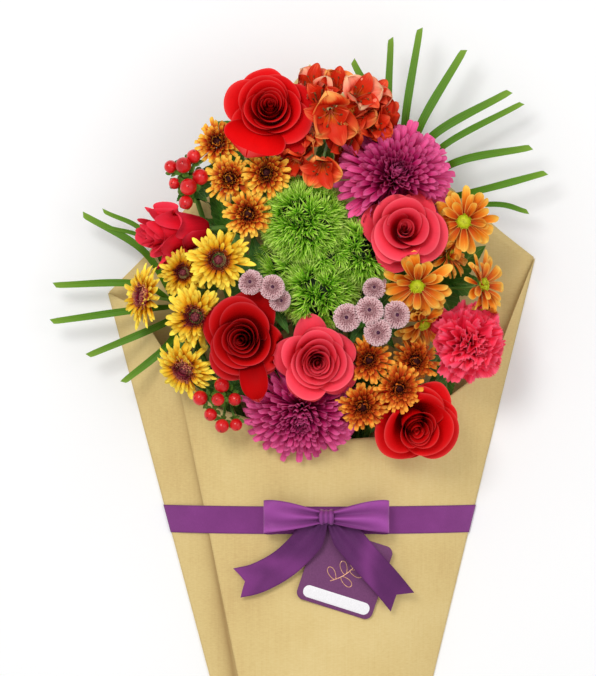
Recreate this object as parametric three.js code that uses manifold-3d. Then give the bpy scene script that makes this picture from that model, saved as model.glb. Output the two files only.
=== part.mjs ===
// Mixed flower bouquet in a folded kraft-paper sleeve, tied with a ribbon, lying on its back.
// Millimetres. +X is the bouquet's right, +Y runs from the cut stems to the flower heads, +Z up.
// The origin is the middle of the bouquet's length and width, on the surface that it lies on.

import * as THREE from 'three';
import { ConvexGeometry } from 'three/addons/geometries/ConvexGeometry.js';
import { mergeVertices } from 'three/addons/utils/BufferGeometryUtils.js';
import Module from 'manifold-3d';

const wasm = await Module();
wasm.setup();

// Driving dimensions
const GAP = 0.3; // clearance between touching pieces
const BLADE = 0.9; // thickness of a petal or a leaf

const PAPER = 0.9; // thickness of the folded paper
const LEFT_CORNER = { x: -152.4, y: 76 };
const RIGHT_CORNER = { x: 189.2, y: 104 };
const SLEEVE_END = -262.4; // y of the sleeve's lower opening
const LEFT_TAPER = 0.266; // how far each side runs in, per millimetre of length
const RIGHT_TAPER = 0.244;
const SLEEVE_PEAK = { x: 9, y: 259 };
const LEFT_SHOULDER = { x: -124.4, y: 104 };
const RIGHT_SHOULDER = { x: 163.6, y: 124 };
const FREE_EDGE = -0.745; // where the right-hand flap ends over the left one, as a share of half the width
const FLAP_LAP = 0.1; // how far the left flap runs on under the right one, the same way
// The front's upper edge, as pairs of a place across (-1 to 1) and its y
const LIP = [
  [-1, 76], [-0.92, 69], [-0.835, 49], [FREE_EDGE, 12], [-0.55, -16], [-0.33, -26], [-0.11, -37],
  [0.12, -40], [0.35, -38], [0.55, -29], [0.68, -10], [0.8, 5], [0.92, 22], [1, 104],
];

const BAND_TOP = -93.3;
const BAND_WIDTH = 22;
const RIBBON = 0.6; // thickness of the ribbon
const BOW = { x: 22, y: -101.5, z: 44.4 };
const TAG = { width: 63, height: 61, thick: 0.8, corner: 6, turn: -0.317, x: 36.5, y: -146 };

const TIE = { x: 18.8, y: -153, width: 9, wall: 1.2 };
const STEM = 2.1; // radius of a main stem
const BRANCH = 1.3; // radius of a side branch
const STEM_PITCH = 4.45; // from stem to stem in the tied bundle
const STEM_FLOOR = PAPER + GAP + TIE.wall + GAP + STEM;
const STEM_END = -284.5; // y of the cut stem ends

// Colours and finishes
function finish(colour, roughness) {
  return new THREE.MeshStandardMaterial({ color: colour, roughness, metalness: 0 });
}
const MATERIALS = {
  redPetal: finish(0xc4141c, 0.55),
  darkRedPetal: finish(0x94101a, 0.55),
  coralPetal: finish(0xe0344c, 0.55),
  pinkPetal: finish(0xe8466c, 0.6),
  magentaPetal: finish(0x93266f, 0.6),
  bronzePetal: finish(0xb8501c, 0.6),
  yellowPetal: finish(0xe9b530, 0.6),
  orangePetal: finish(0xe8861c, 0.6),
  lilacPetal: finish(0xb98aa4, 0.7),
  flamePetal: finish(0xdf4420, 0.5),
  berry: finish(0xc0202c, 0.3),
  moss: finish(0x4f9a24, 0.8),
  stem: finish(0x55802f, 0.7),
  grass: finish(0x4c8a2c, 0.6),
  kraft: finish(0xdcc085, 0.9),
  satin: finish(0x7b3b86, 0.4),
  card: finish(0x6a3a70, 0.6),
  twine: finish(0xc9b48a, 0.9),
};

// Solids

// A closed geometry as a solid that can be joined and cut, with its faces turned outwards.
function solid(geometry) {
  const bare = geometry.clone();
  bare.deleteAttribute('normal');
  bare.deleteAttribute('uv');
  const merged = mergeVertices(bare, 1e-4);
  const vertex = merged.attributes.position.array;
  const index = merged.index.array;
  const triangles = [];
  for (let i = 0; i < index.length; i += 3) {
    const [a, b, c] = index.slice(i, i + 3);
    if (a !== b && b !== c && c !== a) triangles.push([a, b, c]);
  }
  const at = (i) => new THREE.Vector3().fromArray(vertex, 3 * i);
  const volume = triangles.reduce((sum, [a, b, c]) => sum + at(a).dot(at(b).cross(at(c))), 0);
  const outward = volume < 0 ? triangles.map(([a, b, c]) => [a, c, b]) : triangles;
  return new wasm.Manifold(new wasm.Mesh({
    numProp: 3,
    vertProperties: Float32Array.from(vertex),
    triVerts: Uint32Array.from(outward.flat()),
  }));
}

function geometryOf(points, triangles) {
  const geometry = new THREE.BufferGeometry();
  const position = points.flatMap((p) => [p.x, p.y, p.z]);
  geometry.setAttribute('position', new THREE.Float32BufferAttribute(position, 3));
  geometry.setIndex(triangles.flat());
  return geometry;
}

function join(solids) {
  return solids.reduce((whole, next) => whole.add(next));
}

function placed(body, matrix) {
  return body.transform(matrix.toArray());
}

function largest(body) {
  const pieces = body.decompose();
  return pieces.reduce((best, piece) => (piece.volume() > best.volume() ? piece : best));
}

function cornersOf(body) {
  const { vertProperties, numProp } = body.getMesh();
  const corners = [];
  for (let i = 0; i < vertProperties.length; i += numProp) {
    corners.push(new THREE.Vector3().fromArray(vertProperties, i));
  }
  return corners;
}

// The convex hull of a body, grown by the clearance on every side: what its neighbours stay out of.
function guardOf(body) {
  const grown = [];
  for (const corner of cornersOf(body)) {
    for (const dx of [-GAP, GAP]) {
      for (const dy of [-GAP, GAP]) {
        for (const dz of [-GAP, GAP]) grown.push(corner.clone().add(new THREE.Vector3(dx, dy, dz)));
      }
    }
  }
  return solid(new ConvexGeometry(grown));
}

// Two equal grids of points, one over the other, closed round their edge into a thin solid.
function slab(top, under) {
  const rows = top.length;
  const columns = top[0].length;
  const id = (i, j) => i * columns + j;
  const count = rows * columns;
  const triangles = [];
  for (let i = 0; i + 1 < rows; i++) {
    for (let j = 0; j + 1 < columns; j++) {
      const [a, b, c, d] = [id(i, j), id(i, j + 1), id(i + 1, j + 1), id(i + 1, j)];
      triangles.push([a, b, c], [a, c, d]);
      triangles.push([count + a, count + c, count + b], [count + a, count + d, count + c]);
    }
  }
  const rim = [];
  for (let j = 0; j + 1 < columns; j++) rim.push(id(0, j));
  for (let i = 0; i + 1 < rows; i++) rim.push(id(i, columns - 1));
  for (let j = columns - 1; j > 0; j--) rim.push(id(rows - 1, j));
  for (let i = rows - 1; i > 0; i--) rim.push(id(i, 0));
  rim.forEach((a, k) => {
    const b = rim[(k + 1) % rim.length];
    triangles.push([a, count + a, b], [b, count + a, count + b]);
  });
  return solid(geometryOf([...top.flat(), ...under.flat()], triangles));
}

// A closed band: two outer loops and two inner loops, one pair for each edge of the band.
function ring(outerA, innerA, outerB, innerB) {
  const n = outerA.length;
  const triangles = [];
  for (let k = 0; k < n; k++) {
    const next = (k + 1) % n;
    const loops = [0, n, 2 * n, 3 * n];
    loops.forEach((start, side) => {
      const other = loops[(side + 1) % loops.length];
      triangles.push([start + k, start + next, other + next], [start + k, other + next, other + k]);
    });
  }
  return solid(geometryOf([...outerA, ...outerB, ...innerB, ...innerA], triangles));
}

// A profile of [radius, height] pairs turned about Z.
function turned(profile, sides) {
  const points = profile.map(([radius, height]) => new THREE.Vector2(radius, height));
  return solid(new THREE.LatheGeometry(points, sides).rotateX(Math.PI / 2));
}

// A tube through a line of points, with a radius for each point, cut square at both ends.
function tube(points, radii, sides) {
  const rings = [];
  let across = new THREE.Vector3(1, 0, 0);
  points.forEach((middle, i) => {
    const before = points[Math.max(i - 1, 0)];
    const after = points[Math.min(i + 1, points.length - 1)];
    const along = after.clone().sub(before).normalize();
    across = across.clone().addScaledVector(along, -across.dot(along)).normalize();
    const up = new THREE.Vector3().crossVectors(along, across);
    rings.push(Array.from({ length: sides }, (_, k) => {
      const angle = (2 * Math.PI * k) / sides;
      return middle.clone()
        .addScaledVector(across, radii[i] * Math.cos(angle))
        .addScaledVector(up, radii[i] * Math.sin(angle));
    }));
  });
  const last = (rings.length - 1) * sides;
  const triangles = [];
  for (let k = 1; k + 1 < sides; k++) triangles.push([0, k + 1, k], [last, last + k, last + k + 1]);
  for (let i = 0; i + 1 < rings.length; i++) {
    for (let k = 0; k < sides; k++) {
      const [p, q] = [i * sides + k, i * sides + ((k + 1) % sides)];
      triangles.push([p, q, q + sides], [p, q + sides, p + sides]);
    }
  }
  return solid(geometryOf(rings.flat(), triangles));
}

// A stem or twig, and the room that its neighbours leave it.
function stick(line, radii, sides) {
  return { line, body: tube(line, radii, sides), guard: tube(line, radii.map((radius) => radius + GAP), sides) };
}

// Random numbers from 0 to 1 that come out the same on every run.
function seeded(seed) {
  let state = seed;
  return () => {
    state = (state * 1664525 + 1013904223) % 4294967296;
    return state / 4294967296;
  };
}

// Petals, leaves and needles

// How far a petal is cut back, in turn, until its neighbours leave it room.
const TRIMS = [1, 0.85, 0.7, 0.55, 0.4, 0.25];

// A bloom as one closed skin: a stub, then whorls of petals one above the other, then a crown.
// A whorl has `count` petals round a ring of radius `hub` at the height `level`. A petal is a list of
// rows from its root to its tip: [radius, rise, half-width, lift of the edges]. The crown is a list of
// [radius, height] rings that close at the height `apex`. `isFree(x, y, z)` tells whether a point of
// the bloom is clear of the blooms in front.
function layered({ stub, whorls, crown = [], apex }, random, isFree) {
  const points = [];
  const triangles = [];
  const put = (x, y, z) => points.push(new THREE.Vector3(x, y, z)) - 1;
  const circle = (count, spin, radius, height) => Array.from({ length: count }, (_, k) => {
    const angle = spin + (2 * Math.PI * k) / count;
    return { angle, id: put(radius * Math.cos(angle), radius * Math.sin(angle), height) };
  });
  const stitch = (lower, upper) => {
    const close = (loop) => [...loop, { id: loop[0].id, angle: loop[0].angle + 2 * Math.PI }];
    const [a, b] = [close(lower), close(upper)];
    for (let i = 0, j = 0; i < lower.length || j < upper.length;) {
      const stepLower = j === upper.length || (i < lower.length && a[i + 1].angle <= b[j + 1].angle);
      triangles.push(stepLower ? [a[i].id, a[i + 1].id, b[j].id] : [a[i].id, b[j + 1].id, b[j].id]);
      if (stepLower) i += 1;
      else j += 1;
    }
  };

  const first = whorls[0];
  let below = circle(first.count, first.spin ?? 0, stub, 0);
  const seat = put(0, 0, 0);
  below.forEach(({ id }, k) => triangles.push([seat, below[(k + 1) % below.length].id, id]));

  for (const { count, hub, level, rows, spin = 0, folded = false, uneven = 0.1 } of whorls) {
    const step = (2 * Math.PI) / count;
    const across = (angle, radius, side) => [
      radius * Math.cos(angle) - side * Math.sin(angle), radius * Math.sin(angle) + side * Math.cos(angle)];
    const pair = (angle, radius, side, height, slope) => {
      const [c, d] = [Math.cos(angle), Math.sin(angle)];
      const [x, y] = across(angle, radius, side);
      const [dr, dz] = [BLADE * Math.sin(slope), BLADE * Math.cos(slope)];
      return { angle, id: put(x, y, height), under: put(x + dr * c, y + dr * d, height - dz) };
    };
    const notches = Array.from({ length: count }, (_, k) => pair(spin + k * step, hub, 0, level, 0));
    const roots = [];
    for (let k = 0; k < count; k++) {
      const angle = spin + (k + 0.5) * step;
      const reach = 1 - uneven * random();
      const stationOf = ([radius, rise, width, lift = 0], trim) => {
        const r = hub + (radius - hub) * reach * trim;
        const side = Math.min(width * (0.5 + 0.5 * trim), 0.93 * r * Math.tan(step / 2));
        return { r, side, height: level + rise * (2 - reach) * trim, lift };
      };
      const trim = TRIMS.find((share) => rows.every((row) => {
        const { r, side, height, lift } = stationOf(row, share);
        return [-side, 0, side].every((edge) => isFree(...across(angle, r, edge), height + (edge ? lift : 0)));
      })) ?? TRIMS[TRIMS.length - 1];
      const low = [notches[k]];
      const high = [notches[(k + 1) % count]];
      const middle = folded ? [pair(angle, hub, 0, level, 0)] : [];
      roots.push(notches[k], ...middle);
      rows.forEach((row, i) => {
        const before = i ? rows[i - 1] : [hub, 0];
        const after = rows[Math.min(i + 1, rows.length - 1)];
        const slope = Math.atan2(after[1] - before[1], after[0] - before[0]);
        const { r, side, height, lift } = stationOf(row, trim);
        const tip = side === 0 ? pair(angle, r, 0, height, slope) : null;
        low.push(tip ?? pair(angle, r, -side, height + lift, slope));
        if (folded) middle.push(tip ?? pair(angle, r, 0, height, slope));
        high.push(tip ?? pair(angle, r, side, height + lift, slope));
      });
      for (const [one, other] of folded ? [[low, middle], [middle, high]] : [[low, high]]) {
        for (let i = 0; i + 1 < one.length; i++) {
          for (const face of [[one[i], one[i + 1], other[i + 1]], [one[i], other[i + 1], other[i]]]) {
            if (new Set(face).size < 3) continue;
            const [p, q, r] = face;
            triangles.push([p.id, q.id, r.id], [p.under, r.under, q.under]);
          }
        }
      }
      const edge = [...low, ...middle.slice(-1), ...high.reverse()];
      const rim = edge.filter((corner, i) => corner !== edge[i - 1]);
      for (let i = 0; i + 1 < rim.length; i++) {
        const [p, q] = [rim[i], rim[i + 1]];
        triangles.push([p.id, p.under, q.id], [q.id, p.under, q.under]);
      }
    }
    stitch(below, roots.map(({ angle, under }) => ({ angle, id: under })));
    below = roots;
  }

  for (const [radius, height] of crown) {
    const next = circle(below.length, below[0].angle, radius, height);
    stitch(below, next);
    below = next;
  }
  const top = put(0, 0, apex);
  below.forEach(({ id }, k) => triangles.push([top, id, below[(k + 1) % below.length].id]));
  return solid(geometryOf(points, triangles));
}

// The furled middle of a rose: an upright wall wound in a spiral.
function swirl({ turns, inner, outer, base, rim }) {
  const steps = Math.round(turns * 7);
  const top = [[], []];
  const under = [[], []];
  for (let k = 0; k <= steps; k++) {
    const share = k / steps;
    const angle = 2 * Math.PI * turns * share;
    const radius = inner + (outer - inner) * share;
    [radius - BLADE / 2, radius + BLADE / 2].forEach((r, side) => {
      const point = new THREE.Vector3(r * Math.cos(angle), r * Math.sin(angle), 0);
      top[side].push(point.clone().setZ(rim + 1.5 * Math.sin(3 * angle)));
      under[side].push(point.clone().setZ(base));
    });
  }
  return slab(top, under);
}

// A leaf blade along +X with a toothed edge, folded up a little on both sides of its midrib.
function leafBlade(length, width) {
  const outline = [[0, 0.1], [0.35, 1], [0.6, 0.85], [1, 0.06]];
  const rows = outline.map(([along, share]) => {
    const half = (share * width) / 2;
    const droop = -0.18 * length * along * along;
    return [-half, 0, half].map((y) => new THREE.Vector3(along * length, y, droop + 0.35 * Math.abs(y)));
  });
  const lower = rows.map((row) => row.map((p) => p.clone().setZ(p.z - BLADE)));
  return slab(lower.map((row) => row.slice().reverse()), rows.map((row) => row.slice().reverse()));
}

// Blooms, each with its flat seat at the origin and its face towards +Z

// A garden rose: outer, middle and inner whorls of cupped petals round a furled middle.
const ROSE = {
  stub: 5, apex: 27, crown: [[8.5, 20], [8, 26]],
  whorls: [
    { count: 5, hub: 8, level: 6, folded: true, rows: [[25, 10, 17], [33.5, 14, 14, -1.5]] },
    { count: 4, hub: 8, level: 10, folded: true, spin: 0.5, rows: [[25.5, 23, 16]] },
    { count: 3, hub: 8, level: 14, folded: true, spin: 0.2, rows: [[16, 24, 14]] },
  ],
};
const FURL = { turns: 1.4, inner: 2.5, outer: 8.5, base: 22, rim: 40 };

// A carnation: four whorls of ruffled petals, steeper towards the middle.
const frills = (count, reach, rise, level, lift, spin) => ({
  count, hub: 6, level, spin, folded: true, uneven: 0.16, rows: [[reach, rise, reach * 0.62, lift]],
});
const CARNATION = {
  stub: 4.5, apex: 30,
  whorls: [
    frills(7, 30, 5, 9, -4, 0), frills(7, 27, 13, 13, 4.5, 0.39),
    frills(6, 20, 17, 17, -4, 0.1), frills(4, 11, 16, 20, 4, 0.6),
  ],
};

// Chrysanthemums and daisies: whorls of strap petals on a stub, round an eye.
const DISBUD = {
  stub: 4.5, apex: 32,
  whorls: [
    { count: 13, hub: 8, level: 5, rows: [[47, 6, 5]] },
    { count: 11, hub: 8, level: 10, spin: 0.2, rows: [[41, 12, 4.6]] },
    { count: 9, hub: 7.5, level: 16, spin: 0.1, rows: [[30, 16, 4.2]] },
    { count: 6, hub: 6, level: 22, spin: 0.3, rows: [[16, 14, 3.4]] },
  ],
};
const SPRAY_MUM = {
  stub: 2.6, apex: 12.5,
  whorls: [
    { count: 9, hub: 5.5, level: 5, rows: [[19.5, 2.5, 4.2]] },
    { count: 7, hub: 5.2, level: 8.5, spin: 0.3, rows: [[14, 4.5, 3.6]] },
  ],
};
const YELLOW_MUM = {
  stub: 3, apex: 14,
  whorls: [
    { count: 11, hub: 6.5, level: 6, rows: [[26, 2, 4.6]] },
    { count: 8, hub: 6, level: 10, spin: 0.2, rows: [[19, 5.5, 4.1]] },
  ],
};
const DAISY = {
  stub: 3, apex: 12.5,
  whorls: [
    { count: 11, hub: 6.5, level: 5, rows: [[27, 8, 5]] },
    { count: 5, hub: 6, level: 9, spin: 0.3, rows: [[21, 9, 4.4]] },
  ],
};
// A button chrysanthemum: a low dome with a fringe of short petals.
const BUTTON = {
  stub: 2.2, apex: 10, crown: [[7.6, 9]],
  whorls: [{ count: 8, hub: 7.6, level: 5, uneven: 0.05, rows: [[11, 1.5, 0]] }],
};
// An alstroemeria floret: three broad outer tepals and three narrow ones over them.
const FLORET = {
  stub: 1.8, apex: 7,
  whorls: [
    { count: 3, hub: 3.4, level: 5, rows: [[15, 11, 8], [23, 13, 0]] },
    { count: 3, hub: 3.2, level: 8, spin: 1.05, rows: [[12, 9, 3.4], [20, 15, 0]] },
  ],
};

// A round head of green needles: one on every face of a ball, over a smaller core.
function needleBall(radius, random, isFree) {
  const ball = new THREE.IcosahedronGeometry(1, 1).attributes.position;
  const points = [];
  const triangles = [];
  for (let i = 0; i < ball.count; i += 3) {
    const base = [0, 1, 2].map((k) => new THREE.Vector3().fromBufferAttribute(ball, i + k));
    const tip = base[0].clone().add(base[1]).add(base[2]).setLength(radius * (1 - 0.1 * random()));
    if (!isFree(tip)) tip.setLength(0.62 * radius);
    const first = points.length;
    points.push(...base.map((corner) => corner.multiplyScalar(0.6 * radius)), tip);
    triangles.push([first, first + 1, first + 3], [first + 1, first + 2, first + 3], [first + 2, first, first + 3]);
  }
  return solid(geometryOf(points, triangles));
}

// The maker of one kind of bloom from a recipe drawn at `reach` and `height`. The bloom is made at
// another radius and depth, then put in its place by `matrix`, where `taken(point)` tells whether
// there is a bloom already.
const sized = (recipe, reach, height, furl) => (radius, depth, random, matrix, taken) => {
  const size = new THREE.Vector3(radius / reach, radius / reach, depth / height);
  const isFree = (x, y, z) => !taken(new THREE.Vector3(x, y, z).multiply(size).applyMatrix4(matrix));
  const bloom = layered(recipe, random, isFree);
  return placed((furl ? bloom.add(swirl(furl)) : bloom).scale(size.toArray()), matrix);
};

// The kinds of bloom: colour, radius, distance from the seat to the face, how one is made, and the
// room that it takes, as [radius, height] pairs in shares of that radius and that depth.
const CUP = [[0.3, -0.01], [0.85, 0.14], [1.1, 0.38], [1.1, 0.52], [0.92, 0.86], [0.66, 1.01]];
const DISC = [[0.3, -0.03], [0.95, 0.3], [1.06, 0.5], [1.06, 0.75], [0.8, 1.18]];
const makeRose = sized(ROSE, 33.5, 42, FURL);
const KINDS = {
  redRose: { look: 'redPetal', radius: 34, depth: 42, make: makeRose, room: CUP },
  darkRose: { look: 'darkRedPetal', radius: 33, depth: 42, make: makeRose, room: CUP },
  coralRose: { look: 'coralPetal', radius: 31, depth: 42, make: makeRose, room: CUP },
  carnation: { look: 'pinkPetal', radius: 31, depth: 37, make: sized(CARNATION, 30, 37),
    room: [[0.25, -0.01], [1.1, 0.12], [1.12, 0.6], [1.02, 0.9], [0.78, 1.02], [0.45, 1.17]] },
  disbud: { look: 'magentaPetal', radius: 47, depth: 34, make: sized(DISBUD, 47, 34),
    room: [[0.15, -0.01], [0.9, 0.2], [1.02, 0.35], [0.92, 0.7], [0.66, 1.02], [0.4, 1.12]] },
  bronze: { look: 'bronzePetal', radius: 19.5, depth: 12, make: sized(SPRAY_MUM, 19.5, 12), room: DISC },
  yellow: { look: 'yellowPetal', radius: 26, depth: 14, make: sized(YELLOW_MUM, 26, 14), room: DISC },
  daisy: { look: 'orangePetal', radius: 27, depth: 12, make: sized(DAISY, 27, 12),
    room: [[0.2, -0.03], [0.6, 0.3], [1.06, 0.9], [1.06, 1.2], [0.82, 1.62]] },
  button: { radius: 11, depth: 10, make: sized(BUTTON, 11, 10),
    room: [[0.3, -0.03], [1.06, 0.5], [1.06, 0.75], [0.7, 1.04]] },
  floret: { radius: 20, depth: 14, make: sized(FLORET, 23, 14),
    room: [[0.1, -0.03], [0.62, 0.5], [1.06, 1], [1.06, 1.45], [0.93, 1.8]] },
  berry: { radius: 5.6, depth: 5, make: berry, room: [[0.6, -1.1], [1.15, -0.5], [1.15, 0.5], [0.6, 1.1]] },
};

function berry(radius, depth, random, matrix) {
  return placed(solid(new THREE.IcosahedronGeometry(radius, 0)), matrix);
}

// The arrangement, front blooms first: name, kind, carrier, middle of the face, direction it faces.
// A name given as null means that the bloom grows out of its carrier and is one piece with it.
const ARRANGEMENT = [
  ['orange_daisy_2', 'daisy', 'orange_daisy_stem', [92, 78, 106], [-0.1, -0.5, 1]],
  ['coral_rose_right', 'coralRose', 'coral_rose_right_stem', [85, 125, 118], [0.08, 0.08, 1]],
  [null, 'button', 'lilac_buttons_right', [55, 62, 124], [0, 0.1, 1]],
  [null, 'button', 'lilac_buttons_right', [62, 44, 121], [0.1, -0.1, 1]],
  [null, 'button', 'lilac_buttons_right', [37, 56, 121], [-0.15, 0, 1]],
  [null, 'button', 'lilac_buttons_right', [77, 58, 116], [0.2, 0, 1]],
  [null, 'button', 'lilac_buttons_right', [59, 80, 110], [0, 0.3, 1], 9],
  ['coral_rose_centre', 'coralRose', 'coral_rose_centre_stem', [14, 22, 120], [0.02, -0.05, 1]],
  [null, 'floret', 'alstroemeria', [25, 212, 116], [0, -0.1, 1], 22],
  ['red_rose_top', 'redRose', 'red_rose_top_stem', [-24, 221, 110], [-0.05, 0.2, 1]],
  [null, 'floret', 'alstroemeria', [18, 173, 110], [-0.1, -0.6, 1], 17],
  [null, 'floret', 'alstroemeria', [48, 230, 100], [0.5, 0.3, 1], 17],
  [null, 'floret', 'alstroemeria', [30, 237, 94], [0.1, 0.7, 1], 15],
  [null, 'floret', 'alstroemeria', [11, 239, 88], [-0.2, 0.8, 1], 16],
  [null, 'floret', 'alstroemeria', [58, 207, 92], [0.6, 0, 1], 16],
  ['bronze_mum_3', 'bronze', 'bronze_mum_upper_stem', [-25, 169, 104], [0, 0.05, 1]],
  ['bronze_mum_4', 'bronze', 'bronze_mum_upper_stem', [-40, 137, 102], [-0.1, 0, 1]],
  ['yellow_mum_1', 'yellow', 'yellow_mum_stem', [-63, 101, 104], [-0.1, 0, 1]],
  [null, 'button', 'lilac_buttons_left', [-38, 84, 112], [-0.1, 0.1, 1], 10],
  [null, 'button', 'lilac_buttons_left', [-20, 80, 116], [0.1, 0.1, 1], 10],
  [null, 'button', 'lilac_buttons_left', [-13, 69, 108], [0.3, -0.1, 1], 9],
  ['dark_rose_left', 'darkRose', 'dark_rose_left_stem', [-43, 41, 116], [-0.08, 0.02, 1]],
  ['bronze_mum_5', 'bronze', 'bronze_mum_lower_stem', [55, 23, 108], [0.05, -0.05, 1]],
  ['bronze_mum_6', 'bronze', 'bronze_mum_lower_stem', [79, 0, 103], [0.15, -0.15, 1]],
  ['bronze_mum_7', 'bronze', 'bronze_mum_lower_stem', [50, -15, 98], [0, -0.3, 1]],
  ['orange_daisy_1', 'daisy', 'orange_daisy_stem', [129, 130, 95], [-0.05, -0.2, 1]],
  ['bronze_mum_2', 'bronze', 'bronze_mum_upper_stem', [-55, 165, 99], [-0.2, 0.1, 1]],
  ['yellow_mum_3', 'yellow', 'yellow_mum_stem', [-82, 56, 95], [-0.2, -0.1, 1]],
  ['bronze_mum_1', 'bronze', 'bronze_mum_upper_stem', [-65, 195, 91], [-0.3, 0.3, 1]],
  ['magenta_mum_top', 'disbud', 'magenta_mum_top_stem', [79, 173, 106], [0.18, 0.35, 1]],
  ['pink_carnation', 'carnation', 'pink_carnation_stem', [138, 35, 98], [0.25, -0.05, 1]],
  ['red_rose_low', 'redRose', 'red_rose_low_stem', [97, -32, 94], [0.28, -0.38, 1]],
  ['orange_daisy_5', 'daisy', 'orange_daisy_stem', [100, 47, 86], [0.4, -0.8, 0.7], 24],
  ['bronze_mum_8', 'bronze', 'bronze_mum_lower_stem', [93, 22, 86], [0.25, -0.05, 1]],
  ['orange_daisy_4', 'daisy', 'orange_daisy_stem', [152, 82, 80], [1, 0.25, 0.4]],
  ['yellow_mum_4', 'yellow', 'yellow_mum_stem', [-92, 12, 84], [-0.5, -0.7, 1]],
  [null, 'berry', 'hypericum_upper', [-90, 175, 94], [-0.1, 0.4, 1], 6.4],
  [null, 'berry', 'hypericum_upper', [-100, 174, 88], [-0.6, 0.4, 1], 5.2],
  [null, 'berry', 'hypericum_upper', [-82, 182, 90], [0.1, 0.9, 1], 5.6],
  [null, 'berry', 'hypericum_upper', [-97, 161, 88], [-0.5, 0, 1], 4.6],
  [null, 'berry', 'hypericum_upper', [-86, 158, 96], [0, 0, 1], 6.8],
  [null, 'berry', 'hypericum_upper', [-77, 166, 88], [0.4, 0.2, 1], 6.6],
  [null, 'berry', 'hypericum_upper', [-88, 146, 92], [-0.1, -0.5, 1], 5.6],
  [null, 'berry', 'hypericum_lower', [-60, 3, 86], [-0.2, 0.2, 1], 6],
  [null, 'berry', 'hypericum_lower', [-77, -7, 82], [-0.9, 0, 1], 6],
  [null, 'berry', 'hypericum_lower', [-63, -8, 90], [-0.2, -0.1, 1], 5.2],
  [null, 'berry', 'hypericum_lower', [-50, -8, 84], [0.3, -0.2, 1], 5.2],
  [null, 'berry', 'hypericum_lower', [-69, -20, 80], [-0.6, -0.6, 1], 5.2],
  [null, 'berry', 'hypericum_lower', [-60, -29, 80], [-0.2, -0.9, 1], 5.6],
  [null, 'berry', 'hypericum_lower', [-49, -28, 80], [0.2, -0.9, 1], 5],
  ['magenta_mum_low', 'disbud', 'magenta_mum_low_stem', [2, -29, 92], [-0.06, -0.65, 1]],
  ['yellow_mum_2', 'yellow', 'yellow_mum_stem', [-128, 73, 76], [-1, 0.1, 0.55]],
  ['yellow_mum_5', 'yellow', 'yellow_mum_stem', [-92, 92, 78], [-0.2, 0.1, 1], 18],
  ['red_rose_side', 'redRose', 'red_rose_side_stem', [-120, 120, 66], [-1, -0.12, 0.3], 24],
  ['orange_daisy_3', 'daisy', 'orange_daisy_stem', [124, 105, 82], [1, -0.1, 0.5], 21],
];

// Heads of green needles, each grown on its own stem: name, middle, radius.
const NEEDLE_HEADS = [
  ['green_dianthus_1', [5, 131, 86], 32],
  ['green_dianthus_2', [49, 106, 78], 22],
  ['green_dianthus_3', [16, 76, 74], 25],
];

// The stems: place in the tied bundle (row from the back, place in the row, stems in that row), then
// for a spray the point where it forks.
const STEMS = {
  grass_left: { slot: [0, 0, 7], fork: [-98, 68, 22] },
  hypericum_upper: { slot: [0, 1, 7], fork: [-84, 160, 58] },
  bronze_mum_upper_stem: { slot: [0, 2, 7], fork: [-44, 160, 50] },
  red_rose_top_stem: { slot: [0, 3, 7] },
  alstroemeria: { slot: [0, 4, 7], fork: [26, 205, 58] },
  magenta_mum_top_stem: { slot: [0, 5, 7] },
  grass_right: { slot: [0, 6, 7], fork: [88, 165, 20] },
  yellow_mum_stem: { slot: [1, 0, 6], fork: [-84, 66, 48] },
  red_rose_side_stem: { slot: [1, 1, 6] },
  green_dianthus_1: { slot: [1, 2, 6], fork: [5, 131, 70] },
  green_dianthus_2: { slot: [1, 3, 6], fork: [49, 106, 66] },
  coral_rose_right_stem: { slot: [1, 4, 6] },
  orange_daisy_stem: { slot: [1, 5, 6], fork: [108, 84, 48] },
  dark_rose_left_stem: { slot: [2, 0, 5] },
  lilac_buttons_left: { slot: [2, 1, 5], fork: [-25, 77, 76] },
  green_dianthus_3: { slot: [2, 2, 5], fork: [16, 76, 62] },
  lilac_buttons_right: { slot: [2, 3, 5], fork: [57, 58, 84] },
  pink_carnation_stem: { slot: [2, 4, 5] },
  hypericum_lower: { slot: [3, 0, 5], fork: [-56, -2, 58] },
  magenta_mum_low_stem: { slot: [3, 1, 5] },
  coral_rose_centre_stem: { slot: [3, 2, 5] },
  bronze_mum_lower_stem: { slot: [3, 3, 5], fork: [67, 5, 52] },
  red_rose_low_stem: { slot: [3, 4, 5] },
};
const NECK = 20; // length of stem that runs straight up to a single bloom
const CALYX = [[NECK - 8, STEM], [NECK - 2.6, 5.4], [NECK - GAP, 5.2]]; // the cup at its end
const SPLAY = 1.3; // how much wider the cut ends stand than the tied bundle
const BEND = 42; // how far before its neck or fork a stem starts to rise
const TWIG = 0.5; // share of a side branch that runs straight up to its bloom

// Leaves: the stem that it grows on, how far back from the stem's end its root is, the way it points,
// its length and its width.
const LEAVES = [
  ['red_rose_side_stem', 26, [-0.5, 1, 0.5], 46, 20],
  ['red_rose_low_stem', 30, [0.6, 0.9, 0.5], 34, 18],
  ['orange_daisy_stem', 18, [0.9, 0.65, 0.45], 50, 24],
  ['orange_daisy_stem', 22, [1, -0.05, 0.35], 46, 22],
  ['hypericum_upper', 8, [0.3, -0.3, 0.9], 30, 12],
  ['hypericum_upper', 12, [-0.2, 0.3, 0.9], 30, 12],
  ['hypericum_lower', 10, [-0.9, 0.2, 0.5], 30, 12],
  ['yellow_mum_stem', 20, [-0.3, -0.9, 0.15], 50, 22],
  ['red_rose_top_stem', 40, [-0.9, 0.4, 0.1], 52, 24],
  ['dark_rose_left_stem', 28, [-0.6, -0.75, 0.1], 44, 22],
  ['bronze_mum_upper_stem', 18, [-0.4, 0.9, 0.2], 48, 22],
];

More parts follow.
